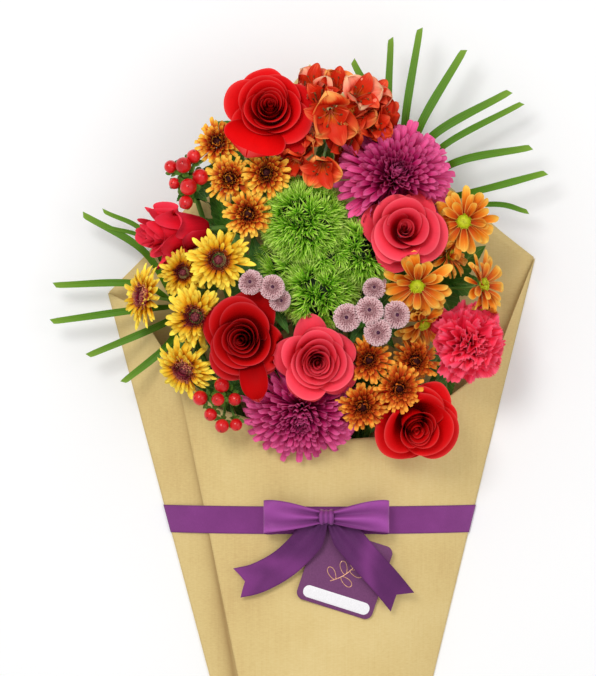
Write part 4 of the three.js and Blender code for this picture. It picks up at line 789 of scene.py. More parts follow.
# More florets between those of the spray: middle of the face, direction it faces, radius, look.
BACK_FLORETS = [
    ((18, 226, 98), (-0.3, 0.3, 1), 17, "salmon"), ((43, 216, 100), (0.4, 0.1, 1), 17, "flame"),
    ((36, 194, 96), (0.1, -0.3, 1), 17, "scarlet"), ((66, 214, 86), (0.8, 0.2, 1), 15, "scarlet"),
    ((10, 203, 96), (-0.4, -0.1, 1), 15, "flame"), ((58, 230, 84), (0.6, 0.5, 1), 14, "salmon"),
    ((-3, 178, 96), (-0.4, -0.7, 1), 13, "scarlet"), ((3, 190, 92), (-0.6, -0.2, 1), 13, "flame")]
# Material slot of the broad tepals for each look of a floret.
TEPALS = {"flame": 0, "salmon": 4, "scarlet": 5}
# The petal that hangs out of a rose: direction round its axis in degrees, radius and height at the
# root, length, half-width, slope at the root, slope at the tip, how late it turns, tone.
HANGING = {
    "dark_rose_left": (-77, 9, 14, 50, 11, 48, -34, 1.8, 0.7),
    "red_rose_top": (-113, 9, 14, 44, 25, 62, -22, 1.6, 0.9),
}
# Berries on each carrier: middle, direction the berry points, radius.
BERRIES = {
    "hypericum_upper": [
        ((-90, 175, 94), (-0.1, 0.4, 1), 6.4), ((-100, 174, 88), (-0.6, 0.4, 1), 5.2),
        ((-82, 182, 90), (0.1, 0.9, 1), 5.6), ((-97, 161, 88), (-0.5, 0, 1), 4.6),
        ((-86, 158, 96), (0, 0, 1), 6.8), ((-77, 166, 88), (0.4, 0.2, 1), 6.6),
        ((-88, 146, 92), (-0.1, -0.5, 1), 5.6)],
    "hypericum_lower": [
        ((-60, 3, 86), (-0.2, 0.2, 1), 6), ((-77, -7, 82), (-0.9, 0, 1), 6),
        ((-63, -8, 90), (-0.2, -0.1, 1), 5.2), ((-50, -8, 84), (0.3, -0.2, 1), 5.2),
        ((-69, -20, 80), (-0.6, -0.6, 1), 5.2), ((-60, -29, 80), (-0.2, -0.9, 1), 5.6),
        ((-49, -28, 80), (0.2, -0.9, 1), 5)],
}
# Green heads on each carrier: middle, radius, number of needles.
NEEDLE_HEADS = {
    "green_dianthus_1": [((5, 131, 84), 34, 5600)],
    "green_dianthus_2": [((50, 108, 80), 29, 4200), ((27, 103, 78), 28, 3000)],
    "green_dianthus_3": [((16, 76, 78), 31, 4200), ((-7, 102, 68), 25, 2200)],
}
# The tied bundle: its rows from the back, with the carriers from left to right. A spray has the point
# where it forks.
BUNDLE = [
    [("grass_left", (-98, 68, 22)), ("hypericum_upper", (-84, 160, 58)),
     ("bronze_mum_upper_stem", (-44, 160, 50)), ("red_rose_top_stem", None), ("alstroemeria", (26, 205, 58)),
     ("magenta_mum_top_stem", None), ("grass_right", (88, 165, 20))],
    [("yellow_mum_stem", (-84, 66, 48)), ("red_rose_side_stem", None), ("green_dianthus_1", (5, 131, 70)),
     ("green_dianthus_2", (49, 106, 66)), ("coral_rose_right_stem", None),
     ("orange_daisy_stem", (108, 84, 48))],
    [("dark_rose_left_stem", None), ("lilac_buttons_left", (-25, 77, 76)), ("green_dianthus_3", (16, 76, 62)),
     ("lilac_buttons_right", (57, 58, 84)), ("pink_carnation_stem", None)],
    [("hypericum_lower", (-56, -2, 58)), ("magenta_mum_low_stem", None), ("coral_rose_centre_stem", None),
     ("bronze_mum_lower_stem", (67, 5, 52)), ("red_rose_low_stem", None)],
]
# Leaves on each carrier: how far back from the end of its stem, direction, length, width.
LEAVES = {
    "red_rose_side_stem": [(26, (-0.5, 1, 0.5), 46, 20)],
    "red_rose_low_stem": [(30, (0.6, 0.9, 0.5), 34, 18)],
    "orange_daisy_stem": [
        (18, (0.9, 0.65, 0.45), 50, 24), (22, (1, -0.05, 0.35), 46, 22), (14, (0.5, -0.9, 0.25), 46, 22)],
    "hypericum_upper": [(8, (0.3, -0.3, 0.9), 30, 12), (12, (-0.2, 0.3, 0.9), 30, 12)],
    "hypericum_lower": [(10, (-0.9, 0.2, 0.5), 30, 12)],
    "yellow_mum_stem": [(20, (-0.3, -0.9, 0.15), 50, 22), (6, (0.3, 0.9, 0.3), 44, 20)],
    "red_rose_top_stem": [(40, (-0.9, 0.4, 0.1), 52, 24)],
    "dark_rose_left_stem": [(28, (-0.6, -0.75, 0.1), 44, 22)],
    "bronze_mum_upper_stem": [(18, (-0.4, 0.9, 0.2), 48, 22), (6, (0.5, 0.8, 0.3), 44, 20)],
    "lilac_buttons_left": [
        (6, (-0.6, 0.8, 0.3), 42, 20), (12, (-0.9, 0.1, 0.25), 40, 20), (9, (-0.25, 0.95, 0.15), 44, 20)],
    "green_dianthus_1": [
        (10, (-0.9, 0.15, 0.25), 46, 22), (14, (-0.5, 0.85, 0.2), 50, 22), (8, (0.1, 1, 0.25), 50, 24)],
    "coral_rose_right_stem": [(26, (0.9, -0.5, 0.2), 44, 20)],
    "bronze_mum_lower_stem": [(8, (0.9, -0.2, 0.2), 40, 18), (10, (-0.25, -1, 0.3), 42, 20)],
    "pink_carnation_stem": [(22, (-0.5, -0.5, 0.7), 36, 16), (30, (0.1, -0.9, 0.35), 36, 18)],
}
# Blades of each fan of grass: where the blade comes out from the flowers, its tip, its width.
GRASS = {
    "grass_right": [
        ((72, 212, 42), (73, 277, 44), 6), ((84, 208, 46), (96, 284.6, 46), 6.5),
        ((95, 205, 42), (131, 268, 42), 7), ((104, 198, 46), (167, 235, 46), 7),
        ((112, 190, 41), (177, 226, 40), 5.5), ((122, 178, 45), (184, 191, 42), 6.5),
        ((148, 158, 42), (196, 171, 38), 6), ((152, 146, 38), (182, 140, 34), 4.5),
        ((57, 226, 50), (43, 259, 50), 6)],
    "grass_left": [
        ((-123, 109, 32), (-171, 138, 32), 6), ((-128, 83, 28), (-194, 82, 28), 6),
        ((-131, 62, 33), (-196, 53, 30), 6), ((-108, 51, 33), (-167, 26, 33), 6),
        ((-104, 34, 38), (-139, 5, 38), 6), ((-118, 119, 36), (-155, 141, 34), 4),
        ((-116, 113, 34), (-153, 129, 32), 3.5)],
}
GRASS_STEP = 5.0  # distance along the stem from one blade to the next
FILLER_LEAVES = 14  # small leaves tried on each stem
FILLED_MIDDLE, FILLED_REACH = np.array([18.0, 104.0]), 118.0  # the round where flowers cover them


def seat_of(at, facing, depth):
    """The axis of a bloom, and its seat: the middle of its face less its depth along the axis."""
    axis = unit(facing)
    return axis, np.asarray(at, float) - axis * depth


def main_stem(row, place, places, target, axis):
    """From the cut end through the tied bundle, level to where it starts to rise, then up along a Bezier
    curve that ends along the axis."""
    x = TIE_X + (place - (places - 1) / 2) * STEM_PITCH
    z = STEM_FLOOR + row * STEM_PITCH
    foot = np.array([TIE_X + (x - TIE_X) * SPLAY, STEM_END + 1.5 * row + 2 * (place % 2), z])
    leave = np.array([x, TIE_Y + 14, z])
    run = unit((target - leave) * [1, 1, 0])
    rise = np.append((target - run * BEND)[:2], z)
    bend = bezier([rise, rise + 0.6 * BEND * run, target - 0.5 * BEND * axis, target], 16)
    return np.concatenate([[foot, foot + (leave - foot) * 0.5, leave, (leave + rise) / 2], bend])


def point_back(line, distance):
    """The point of a line at a distance back from its end."""
    reach = np.append(0, np.cumsum(np.linalg.norm(np.diff(line[::-1], axis=0), axis=1)))
    return np.array([np.interp(distance, reach, line[::-1, i]) for i in range(3)])


def stem_skin(skin, line, radii):
    """A stem as a tube that is closed at its cut end."""
    skin.add(tube(line, radii, 11))
    along = unit(line[1] - line[0])
    skin.add(tube([line[0] - along * 0.05, line[0]], [0, STEM], 11))


EYES = {
    "bronze_eye": petal_material("bronze_eye", [(0, "140206"), (0.6, "360810"), (1, "5C1C18")], vary=0.6),
    "yellow_ring": petal_material(
        "yellow_ring", [(0, "4A0818"), (0.45, "8E1A34"), (0.8, "B4485A"), (1, "EAB070")], vary=0.5),
    "yellow_dome": speckled_material("yellow_dome", "4E0C1E", "9A4448"),
    "daisy_eye": petal_material("daisy_eye", [(0, "7E8A08"), (0.5, "C4D014"), (1, "F4F450")], vary=0.5),
    "lilac_eye": speckled_material("lilac_eye", "30102A", "6A3458"),
    "tepal": petal_material(
        "streaked_tepal", [(0, "F0B040"), (0.2, "E86A20"), (0.4, "DC3812"), (0.8, "D82A10"), (1, "EC6038")],
        lines=16, streak=0.34, vary=0.25),
    "filament": petal_material("filament", [(0, "E8885A"), (1, "D84A28")]),
    "anther": speckled_material("anther", "4A2A12", "8A5A2A"),
}
BRONZE = dict(edge_share=0.35, edge_power=7, shift=0.45)
TEPAL = dict(edge_share=0.4, lines=18, shift=0.4)
# Looks of a bloom: record slot, then its materials by material slot.
LOOKS = {
    # Rose looks: their pale rim colours are painted highlights, and their darkest stops at the roots are
    # painted shade deep in the flower.
    "red": ("red_petal", [rose_material(
        "red_rose_petal", [(0, "8A0204"), (0.4, "BC0406"), (0.75, "D4080A"), (1, "DC1216")], "F87470")]),
    "side": ("red_petal", [rose_material(
        "side_rose_petal", [(0, "960A14"), (0.4, "CA1222"), (0.75, "E61C30"), (1, "F0364C")], "FF7080",
        edge_share=0.3, streak=0.08)]),
    "dark": ("dark_red_petal", [rose_material(
        "dark_rose_petal", [(0, "4E0103"), (0.45, "900407"), (0.8, "B4080A"), (1, "BE0E10")], "D86068")]),
    "coral": ("coral_petal", [rose_material(
        "coral_rose_petal", [(0, "B40A1C"), (0.4, "DC1830"), (0.75, "EC2C42"), (1, "F24658")], "FF8E96",
        edge_share=0.4)]),
    "pink": ("pink_petal", [petal_material(
        "carnation_petal", [(0, "B80A20"), (0.45, "F21C40"), (0.8, "FF3C5E"), (1, "FF6480")],
        edge="FF8490", edge_share=0.3, edge_power=40, vary=0.3, specular=0.04)]),
    "magenta": ("magenta_petal", [petal_material(
        "magenta_strap", [(0, "560430"), (0.34, "A41056"), (0.72, "CE2274"), (1, "E6649E")],
        edge="E896BC", edge_share=0.25, shift=0.3, vary=0.5, specular=0.08)]),
    "gold": ("bronze_petal", [petal_material("gold_bronze_strap", [
        (0, "34060A"), (0.4, "8C160A"), (0.66, "C83C0C"), (0.85, "EE9020"), (1, "F8CC4C")],
        edge="F8C048", **BRONZE), EYES["bronze_eye"]]),
    "copper": ("bronze_petal", [petal_material("copper_bronze_strap", [
        (0, "3C060A"), (0.36, "98200C"), (0.68, "C83E0E"), (0.9, "E2701A"), (1, "F4AC40")],
        edge="F4A43C", **BRONZE), EYES["bronze_eye"]]),
    "yellow": ("yellow_petal", [petal_material(
        "yellow_ray", [(0, "A8300A"), (0.34, "E07C0E"), (0.6, "F6BC1C"), (1, "FFE854")],
        shift=0.4, streak=0.26, vary=0.45), EYES["yellow_ring"], EYES["yellow_dome"]]),
    "orange": ("orange_petal", [petal_material(
        "orange_ray", [(0, "B02C0A"), (0.35, "DC5A0E"), (0.7, "F0881A"), (1, "FAB63C")],
        edge="FFDC6C", edge_share=0.8, edge_power=9, streak=0.34), EYES["daisy_eye"]]),
    "lilac": ("lilac_petal", [petal_material(
        "lilac_floret", [(0, "7A3442"), (0.4, "BC7880"), (0.75, "E4B2B4"), (1, "FAE2E2")]),
        EYES["lilac_eye"]]),
    "flame": ("flame_petal", [
        petal_material("flame_tepal", [
            (0, "F0A034"), (0.14, "E24A14"), (0.5, "D41E08"), (0.84, "E8441A"), (1, "F69048")],
            edge="F8B860", edge_power=12, streak=0.3, vary=0.45, **{**TEPAL, "edge_share": 0.5}),
        EYES["tepal"], EYES["filament"], EYES["anther"],
        petal_material("salmon_tepal", [(0, "F4B43C"), (0.2, "EC5A2C"), (0.6, "FA5A3C"), (1, "FFA084")],
                       edge="D8E0A0", edge_power=10, streak=0.3, **TEPAL),
        petal_material("scarlet_tepal", [(0, "E0701C"), (0.25, "C83010"), (0.6, "C01A0C"), (1, "D83A18")],
                       edge="F08A40", vary=0.4, **TEPAL)]),
}
# The core's near-black colours are painted shade deep among the needles.
NEEDLE_LOOKS = [petal_material(
    "needle_green", [(0, "2E740A"), (0.35, "84D426"), (0.7, "BCF044"), (1, "E4FF84")], vary=0.6, shift=0.35),
    speckled_material("needle_core_shade", "081803", "16340A", 500)]
BERRY_LOOKS = [berry_material(), speckled_material("berry_style", "2A0A08", "4E1A10"),
               leaf_material("sepal_green", "4A7A22", "6E9E38", "90B858")]
GREEN_LOOKS = [blade_material("stem_skin", "3C6A1E", "6C9A3A", "9CB870"),
               leaf_material("leaf_green", "2E6414", "568E2A", "90BE5E"),
               blade_material("grass_green", "326408", "5E9414", "94B83C")]

# The room of a bloom as shares of its radius, then its lower and upper side as shares of its depth.
CUP = ((0, 0.3, 0.88, 1.07), (-0.01, -0.01, 0.12, 0.3), (1.02, 1.02, 0.88, 0.62))
DISC = ((0, 0.3, 0.95, 1.0), (-0.03, -0.03, 0.3, 0.5), (1.25, 1.25, 1.15, 0.85))
FLAT_KINDS = ("bronze", "yellow", "daisy", "button", "floret")
CLEARANCE = 0.4  # how far under a bloom a point is bent at least
SQUEEZE = 0.08  # share of its depth in the bloom that it keeps under it


class Crowd:
    """The blooms placed so far. What would run into one of them is bent under it."""

    def __init__(self):
        self.rooms = []

    def add(self, seat, matrix, radius, depth, room):
        """Takes up the room of a bloom, a profile that is turned about its axis."""
        shares, low, high = (np.asarray(row, float) for row in room)
        self.rooms.append((seat, matrix, shares * radius, low * depth, high * depth))

    def bend(self, grid):
        """Moves each point that is inside a room down along that bloom's axis to just below the room, in
        the order from the front bloom to the back one."""
        points = np.array(grid, float).reshape(-1, 3)
        for seat, matrix, radii, low, high in self.rooms:
            near = np.flatnonzero(((points - seat) ** 2).sum(1) < (radii[-1] + high.max()) ** 2)
            local = (points[near] - seat) @ matrix
            reach = np.hypot(local[:, 0], local[:, 1])
            under, over = np.interp(reach, radii, low), np.interp(reach, radii, high)
            inside = (reach < radii[-1]) & (local[:, 2] > under - CLEARANCE) & (local[:, 2] < over)
            local[inside, 2] = (under - CLEARANCE - SQUEEZE * (local[:, 2] - under))[inside]
            points[near] = local @ matrix.T + seat
        return points.reshape(np.shape(grid))


def fitted(skin, radius, within, height):
    """The scale that brings a percentage of a skin's points within a radius, and its top to a height."""
    points = np.concatenate(skin.points)
    across = radius / np.percentile(np.hypot(points[:, 0], points[:, 1]), within)
    return np.array([across, across, height / points[:, 2].max()])


def place_bloom(target, kind, at, facing, radius, look, rng, crowd):
    """Adds a bloom to a skin and bends it under those in front. Gives back its seat, rotation and depth."""
    maker, values, within, depth, height = KINDS[kind]
    bloom = maker(rng, **values)
    axis, seat = seat_of(at, facing, depth)
    if kind == "furled":
        seat = seat - axis * FURLED_BACK
    if kind == "floret":
        bloom.paint(TEPALS[look])
    target.join(bloom, turn_to(axis), seat, fitted(bloom, radius, within, height), crowd.bend)
    return seat, turn_to(axis), depth


def grow_flowers(crowd):
    """One piece for each named bloom, and one for all the blooms that grow on the same carrier. The green
    heads go in behind all but the blooms at the back."""
    carried = {}
    for i, (name, kind, carrier, at, facing, radius, look) in enumerate(ARRANGEMENT):
        if name == "magenta_mum_low":
            grow_needles(crowd)
        rng = np.random.default_rng(100 + i)
        target = Skin() if name else carried.setdefault(carrier, (look, Skin()))[1]
        seat, matrix, depth = place_bloom(target, kind, at, facing, radius, look, rng, crowd)
        if name in HANGING:
            azimuth, *place, bend, tone = HANGING[name]
            petal = Skin()
            petal.petal([math.radians(azimuth)], *place, rng, bend=bend, tone=tone, ease=0.5, widest=0.66,
                        blunt=2.2, curl=0.1, ruffle=0.6, waves=0.8, rows=25, columns=21)
            target.join(petal, matrix, seat, bend=crowd.bend)
        crowd.add(seat, matrix, radius, depth, DISC if kind in FLAT_KINDS else CUP)
        if name:
            slot, materials = LOOKS[look]
            target.build(name + "_petals", materials, slot, [name])
    for i, (at, facing, radius, look) in enumerate(BACK_FLORETS):
        rng = np.random.default_rng(200 + i)
        place_bloom(carried["alstroemeria"][1], "floret", at, facing, radius, look, rng, crowd)
    for carrier, (look, skin) in carried.items():
        slot, materials = LOOKS[look]
        skin.build(carrier + "_petals", materials, slot, [carrier])


def grow_berries():
    """The berries of each carrier, on the directions that they point in."""
    for carrier, berries in BERRIES.items():
        skin = Skin()
        for i, (at, facing, radius) in enumerate(berries):
            skin.join(berry(radius, np.random.default_rng(300 + i)), turn_to(facing), np.asarray(at, float))
        skin.build(carrier + "_berries", BERRY_LOOKS, "berry", [carrier])


def grow_needles(crowd):
    """The green heads: needles over a ball painted dark as the shade among them, bent away from the blooms in
    front.
    """
    lift = np.linspace(-np.pi / 2, np.pi / 2, 13)
    for i, (carrier, heads) in enumerate(NEEDLE_HEADS.items()):
        rng = np.random.default_rng(400 + i)
        skin = Skin()
        for centre, radius, count in heads:
            skin.add(crowd.bend(needles(centre, radius, count, rng)), rng.random(count))
            core = turned(CORE * radius * np.stack([np.cos(lift), np.sin(lift)], -1), 25)
            skin.add(crowd.bend(core + np.asarray(centre, float)), 0.5, 1)
        skin.build(carrier + "_needles", NEEDLE_LOOKS, "moss_green", [carrier])


def stems_of(carrier, slot, fork, skin):
    """Adds the main stem of a carrier and its branches to a skin, and gives back the main line. A single
    stem widens to a calyx in its neck; a spray's branches start one above the other below its fork."""
    own = [(*seat_of(at, facing, KINDS[kind][3]), name)
           for name, kind, by, at, facing, _, _ in ARRANGEMENT if by == carrier]
    own += [(*seat_of(at, facing, radius), "") for at, facing, radius in BERRIES.get(carrier, [])]
    if fork is None:
        axis, seat, _ = own[0]
        line = main_stem(*slot, seat - axis * NECK, axis)
        neck = [seat + axis * (far - NECK) for far in (6, 12, 15, 17.4, 19.7)]
        stem_skin(skin, np.concatenate([line, neck]), [STEM] * (len(line) + 2) + [3.8, 5.4, 5.2])
        return line
    top = np.asarray(fork, float)
    if own or carrier in NEEDLE_HEADS:
        line = np.concatenate([main_stem(*slot, top - UP * NECK, UP), [top - UP * NECK / 2, top]])
    else:
        line = main_stem(*slot, top, UP)
    stem_skin(skin, line, STEM)
    for i, (axis, seat, name) in enumerate(own):
        root = top - UP * (0.8 * NECK * i / len(own) + 1)
        reach = np.linalg.norm(seat - root)
        if name:
            branch = bezier([root, seat - axis * 0.5 * reach, seat - axis * 0.6], 14)
        else:
            branch = np.linspace(root, seat + axis * 2, 8)
        skin.add(tube(branch, BRANCH * 0.9, 8))
    return line


def filler(line, rng):
    """Small leaves along the upper part of a stem, turned by the golden angle from one to the next, and
    kept where there are flowers to cover them."""
    blades = []
    for k in range(FILLER_LEAVES):
        turn, rise = k * GOLDEN + rng.uniform(0, 0.8), rng.uniform(0.1, 0.8)
        along = unit([math.cos(turn), math.sin(turn), rise])
        root = point_back(line, rng.uniform(4, 52))
        length = rng.uniform(24, 40)
        covered = (((root + along * length)[:2] - FILLED_MIDDLE) / FILLED_REACH) ** 2
        if covered.sum() < 1 and root[2] > 25:
            blades.append(leaf(root, along, length, rng.uniform(10, 16), rng, 28, 7))
    return blades


def grow_greens(crowd):
    """The stems of each carrier with the leaves or blades that grow on them."""
    stems = [(carrier, (row, place, len(line)), fork)
             for row, line in enumerate(BUNDLE) for place, (carrier, fork) in enumerate(line)]
    for i, (carrier, slot, fork) in enumerate(stems):
        rng = np.random.default_rng(500 + i)
        skin = Skin()
        line = stems_of(carrier, slot, fork, skin)
        for back, direction, length, width in LEAVES.get(carrier, []):
            blade = leaf(point_back(line, back), direction, length, width, rng)
            skin.add(crowd.bend(blade), rng.random(), 1)
        for blade in [] if carrier in GRASS else filler(line, rng):
            skin.add(crowd.bend(blade), rng.random() * 0.5, 1)
        for k, (out, tip, width) in enumerate(GRASS.get(carrier, [])):
            skin.add(grass_blade(point_back(line, 2 + GRASS_STEP * k), out, tip, width), rng.random(), 2)
        look = "grass_green" if carrier in GRASS else "stem_green"
        skin.build(carrier + "_greens", GREEN_LOOKS, look, [carrier])


SHEET = 0.35  # thickness of the paper
LAP_HALF = 130.0  # half the sleeve's width where its free edge shows most
EDGE_LIFT = 2.4  # how far the free edge of the front stands off the flap under it
BAND_MIDDLE = BAND_TOP - BAND_WIDTH / 2


def sleeve_sides(y):
    """The left and right crease at a height: straight lines that run together towards the stems."""
    left = LEFT_CORNER[0] + (LEFT_CORNER[1] - y) * 0.266
    right = RIGHT_CORNER[0] - (RIGHT_CORNER[1] - y) * 0.244
    return left, right


def across_sleeve(share, y):
    """The x at a share across the sleeve, from -1 at the left crease to 1 at the right one."""
    left, right = sleeve_sides(y)
    return (left + right) / 2 + share * (right - left) / 2


def front_height(share, y):
    """The front's inner face: an arch from crease to crease, one minus a power of the share across, which
    is higher towards the flowers."""
    crown = 42 + np.where(y < BAND_TOP, 0.1, 0.2) * (y - BAND_TOP)
    return PAPER / 2 + crown * (1 - np.abs(share) ** 2.4)


def front_at(x, y):
    """The height of the front's outer face at a point."""
    left, right = sleeve_sides(y)
    return front_height((2 * x - left - right) / (right - left), y) + PAPER


def by_band(y):
    """1 where the ribbon passes under the sleeve, which lifts its back sheet there, and 0 elsewhere."""
    return np.clip((12.5 - np.abs(y - BAND_MIDDLE)) / 1.5, 0, 1)


def closed_sheet(skin, top, tone=0.5):
    """A thin sheet under a grid of points, closed round its edges."""
    under = top - np.array([0, 0, SHEET])
    skin.add(top, tone)
    skin.add(under[:, ::-1])
    sides = (under[0], top[0]), (top[-1], under[-1]), (top[:, 0], under[:, 0]), (under[:, -1], top[:, -1])
    for pair in sides:
        skin.add(np.stack(pair))


def front_flap(shares, rows):
    """One flap of the front as a grid from the lower opening up to the lip."""
    lip = np.interp(shares, LIP[:, 0], LIP[:, 1])
    y = SLEEVE_END + (lip - SLEEVE_END) * np.linspace(0, 1, rows)[:, None]
    share = np.broadcast_to(shares, y.shape) * 0.998
    return np.stack([across_sleeve(share, y), y, front_height(share, y) + PAPER], -1)


def back_sheet():
    """The sheet behind the flowers: level, between the creases and then between lines from the corners
    over the shoulders to the peak."""
    y = np.linspace(SLEEVE_END, PEAK[1], 150)[:, None]
    edges = []
    for low, corner, shoulder in zip(
            sleeve_sides(y), (LEFT_CORNER, RIGHT_CORNER), (LEFT_SHOULDER, RIGHT_SHOULDER)):
        high = np.interp(y, *zip(*((point[1], point[0]) for point in (corner, shoulder, PEAK))))
        edges.append(np.where(y < corner[1], low, high))
    share = np.linspace(0, 1, 30)[None, :]
    lift = 0.9 * by_band(y)
    return np.stack([edges[0] + (edges[1] - edges[0]) * share, y + 0 * share, 0.75 + lift + 0 * share], -1)


def paper():
    """The two flaps of the front, the back sheet behind them, and the creases at the sides as half tubes.
    The left flap is tucked under the right one, which stands off it along its free edge and shades it by a
    falling exponential of the distance."""
    skin = Skin()
    right = front_flap(np.linspace(FREE_EDGE, 1, 110), 90)
    left = front_flap(np.linspace(-1, FREE_EDGE + FLAP_LAP, 26), 90)
    left[..., 2:] -= (PAPER + GAP) * np.clip((left[..., :1] - left[:, :1, :1]) / 12, 0, 1)
    inside, from_band = right[..., 0] - right[:, :1, 0], np.abs(right[..., 1] - BAND_MIDDLE)
    beside = (left[:, -1:, 0] - left[..., 0]) - FLAP_LAP * LAP_HALF
    right[..., 2] += EDGE_LIFT * np.clip(1 - inside / 14, 0, 1) ** 2 * np.clip((from_band - 16) / 26, 0, 1)
    closed_sheet(skin, right)
    closed_sheet(skin, left, 0.5 - 0.42 * np.exp(-np.abs(beside) / 5))
    closed_sheet(skin, back_sheet())
    for side, edge in ((-1, LEFT_CORNER[1]), (1, RIGHT_CORNER[1])):
        y = np.linspace(SLEEVE_END, edge, 60)[:, None]
        turn = -side * np.linspace(-np.pi / 2, np.pi / 2, 7)[None, :]
        x = sleeve_sides(y)[(side + 1) // 2] + side * (0.3 * np.cos(turn) - 0.2)
        low, high = 0.4 + 0.9 * by_band(y), 1.35
        skin.add(np.stack([x, y + 0 * turn, (low + high) / 2 + (high - low) / 2 * np.sin(turn)], -1))
    return skin.build("paper_sleeve_folds", [kraft_material()], "kraft_paper", ["paper_sleeve"])


def area_of(grid):
    """The area of a grid of points, in square millimetres: half the cross products of the diagonals."""
    a, b = grid[1:, 1:] - grid[:-1, :-1], grid[1:, :-1] - grid[:-1, 1:]
    return np.linalg.norm(np.cross(a, b), axis=-1).sum() / 2


def band_line(y):
    """The way of the ribbon round the sleeve at one y: under the back, then over the front."""
    left, right = sleeve_sides(y)
    share = np.linspace(0.99, -0.99, 120)
    over = front_height(share, y) + PAPER + GAP + 0.3
    front = np.stack([across_sleeve(share, y), y + 0 * share, over], -1)
    under = np.linspace([left - 0.2, y, 0.3], [right + 0.2, y, 0.3], 60)
    ends = [[right + 0.7, y, 0.7], [right + 0.7, y, 1.7]], [[left - 0.7, y, 1.7], [left - 0.7, y, 0.7]]
    return np.concatenate([under, ends[0], front, ends[1], under[:1]])


def ribbon_band(look):
    """The ribbon round the sleeve, as a strip between the ways round at its two edges."""
    rows = np.stack([band_line(y) for y in np.linspace(BAND_TOP - BAND_WIDTH, BAND_TOP, 9)], 1)
    skin = Skin()
    skin.add(rows)
    piece = skin.build("ribbon_band_satin", [look], "satin_ribbon", ["ribbon_band"])
    area_of(rows) / BAND_WIDTH * MM
    return piece


# Where the bow is tied, the lines of its tails, a tail's width, the depth of its cut and the height of
# its waves.
BOW = np.array([22.0, -101.5, 44.4])
LEFT_TAIL = [(19, -103, 52.6), (8, -119, 49.5), (-11, -138, 44), (-32, -150, 37.5), (-49, -154.5, 31)]
RIGHT_TAIL = [(26, -102, 48.2), (38, -117, 49), (54, -136, 47), (70, -154, 41), (82.5, -169.5, 34)]
TAIL_WIDTH, NOTCH, TAIL_LIFT = 24, 9, 1.3
TAIL_ROWS, TAIL_COLUMNS = 60, 15


def bow_loop(side):
    """A loop of the bow: a flattened teardrop that widens outwards, pleated where it is tied. Round it, it
    reaches out by a power of half of one plus the cosine and rises by the sine, and a pleat is a cosine
    across it. Its tone is painted shade towards the knot, in the pleats and inside, and painted light
    outwards."""
    angle = np.linspace(0, 2 * np.pi, 73)[:, None]
    edge = np.linspace(-1, 1, 21)[None, :]
    out = 0.5 + 0.5 * np.cos(angle)
    reach = 2 + 47.6 * out ** 0.9
    rise = 7.2 * np.sin(angle) * (0.45 + 0.55 * out) + 8 - 1.5 * (1 - out)
    pleat, wave = np.cos(2.2 * np.pi * edge + 0.5 + 0.9 * side), np.cos(1.4 * np.pi * edge + 2.2 * out)
    fold = pleat * (1 - out) + 0.5 * wave * out
    half = 4.4 + 8.6 * (1 - (1 - out) ** 1.8)
    shear = 1.8 * np.sin(angle) * out
    # Painted shade towards the knot, in pleat hollows and inside the loop; painted light on its outer part
    # and pleat crests.
    tone = 0.5 + 0.26 * out + 0.34 * fold - 0.3 * (np.sin(angle) < 0)
    return np.stack([BOW[0] + side * reach + 0 * edge, BOW[1] + side * edge * half + shear,
                     BOW[2] + rise + 1.5 * fold], -1), np.clip(tone, 0, 1)


def bow_tail(points):
    """A ribbon tail along a line: narrow and pleated at the knot, then of full width and gently waved by a
    sine along it, with a swallow cut, which shortens it in proportion to the distance from its edges."""
    line = smooth_line(points, TAIL_ROWS)
    across = np.linspace(1, -1, TAIL_COLUMNS)[None, :]
    length = np.linalg.norm(np.diff(line, axis=0), axis=1).sum()
    share = np.linspace(0, 1, TAIL_ROWS)[:, None] * (1 - NOTCH / length * (1 - np.abs(across)))

    def spread(values):
        """What a value along the line is at each point of the tail, evenly in between."""
        steps = np.arange(TAIL_ROWS)
        return np.stack([np.interp(share * (TAIL_ROWS - 1), steps, value) for value in values.T], -1)

    along = unit(np.gradient(line, axis=0) * [1, 1, 0])
    spot, side = spread(line), spread(np.stack([-along[:, 1], along[:, 0]], -1))
    half = TAIL_WIDTH / 2 * np.clip(0.42 + 2.4 * share, 0, 1)
    spot[..., :2] += side * (half * across)[..., None]
    spot[..., 2] += TAIL_LIFT * np.sin(2 * np.pi * share * 1.3 + 0.8 * across) * share
    spot[..., 2] += 1.1 * (1 - share) ** 2 * np.cos(2.4 * np.pi * across)
    return spot


def bow_knot():
    """The knot: an oval drum on its side, wider at its ends by the square of the distance from its middle,
    and lightly pleated by a cosine, with a tone that paints light and shade along the pleats."""
    x = np.linspace(1, -1, 21)[None, :]
    angle = np.linspace(0, 2 * np.pi, 41)[:, None]
    pleat = np.cos(3.1 * np.pi * x + 0.8 * np.sin(angle))
    swell = 0.92 + 0.14 * x ** 2 + 0.04 * pleat
    wide = (5.2 + 0.8 * np.sin(angle) ** 2) * x
    knot = np.stack([wide, 6.2 * swell * np.cos(angle), 5.6 * swell * np.sin(angle)], -1)
    # The tone is painted light and shade along the pleats.
    return knot + BOW + [0, 0, 5.6], 0.5 + 0.16 * pleat


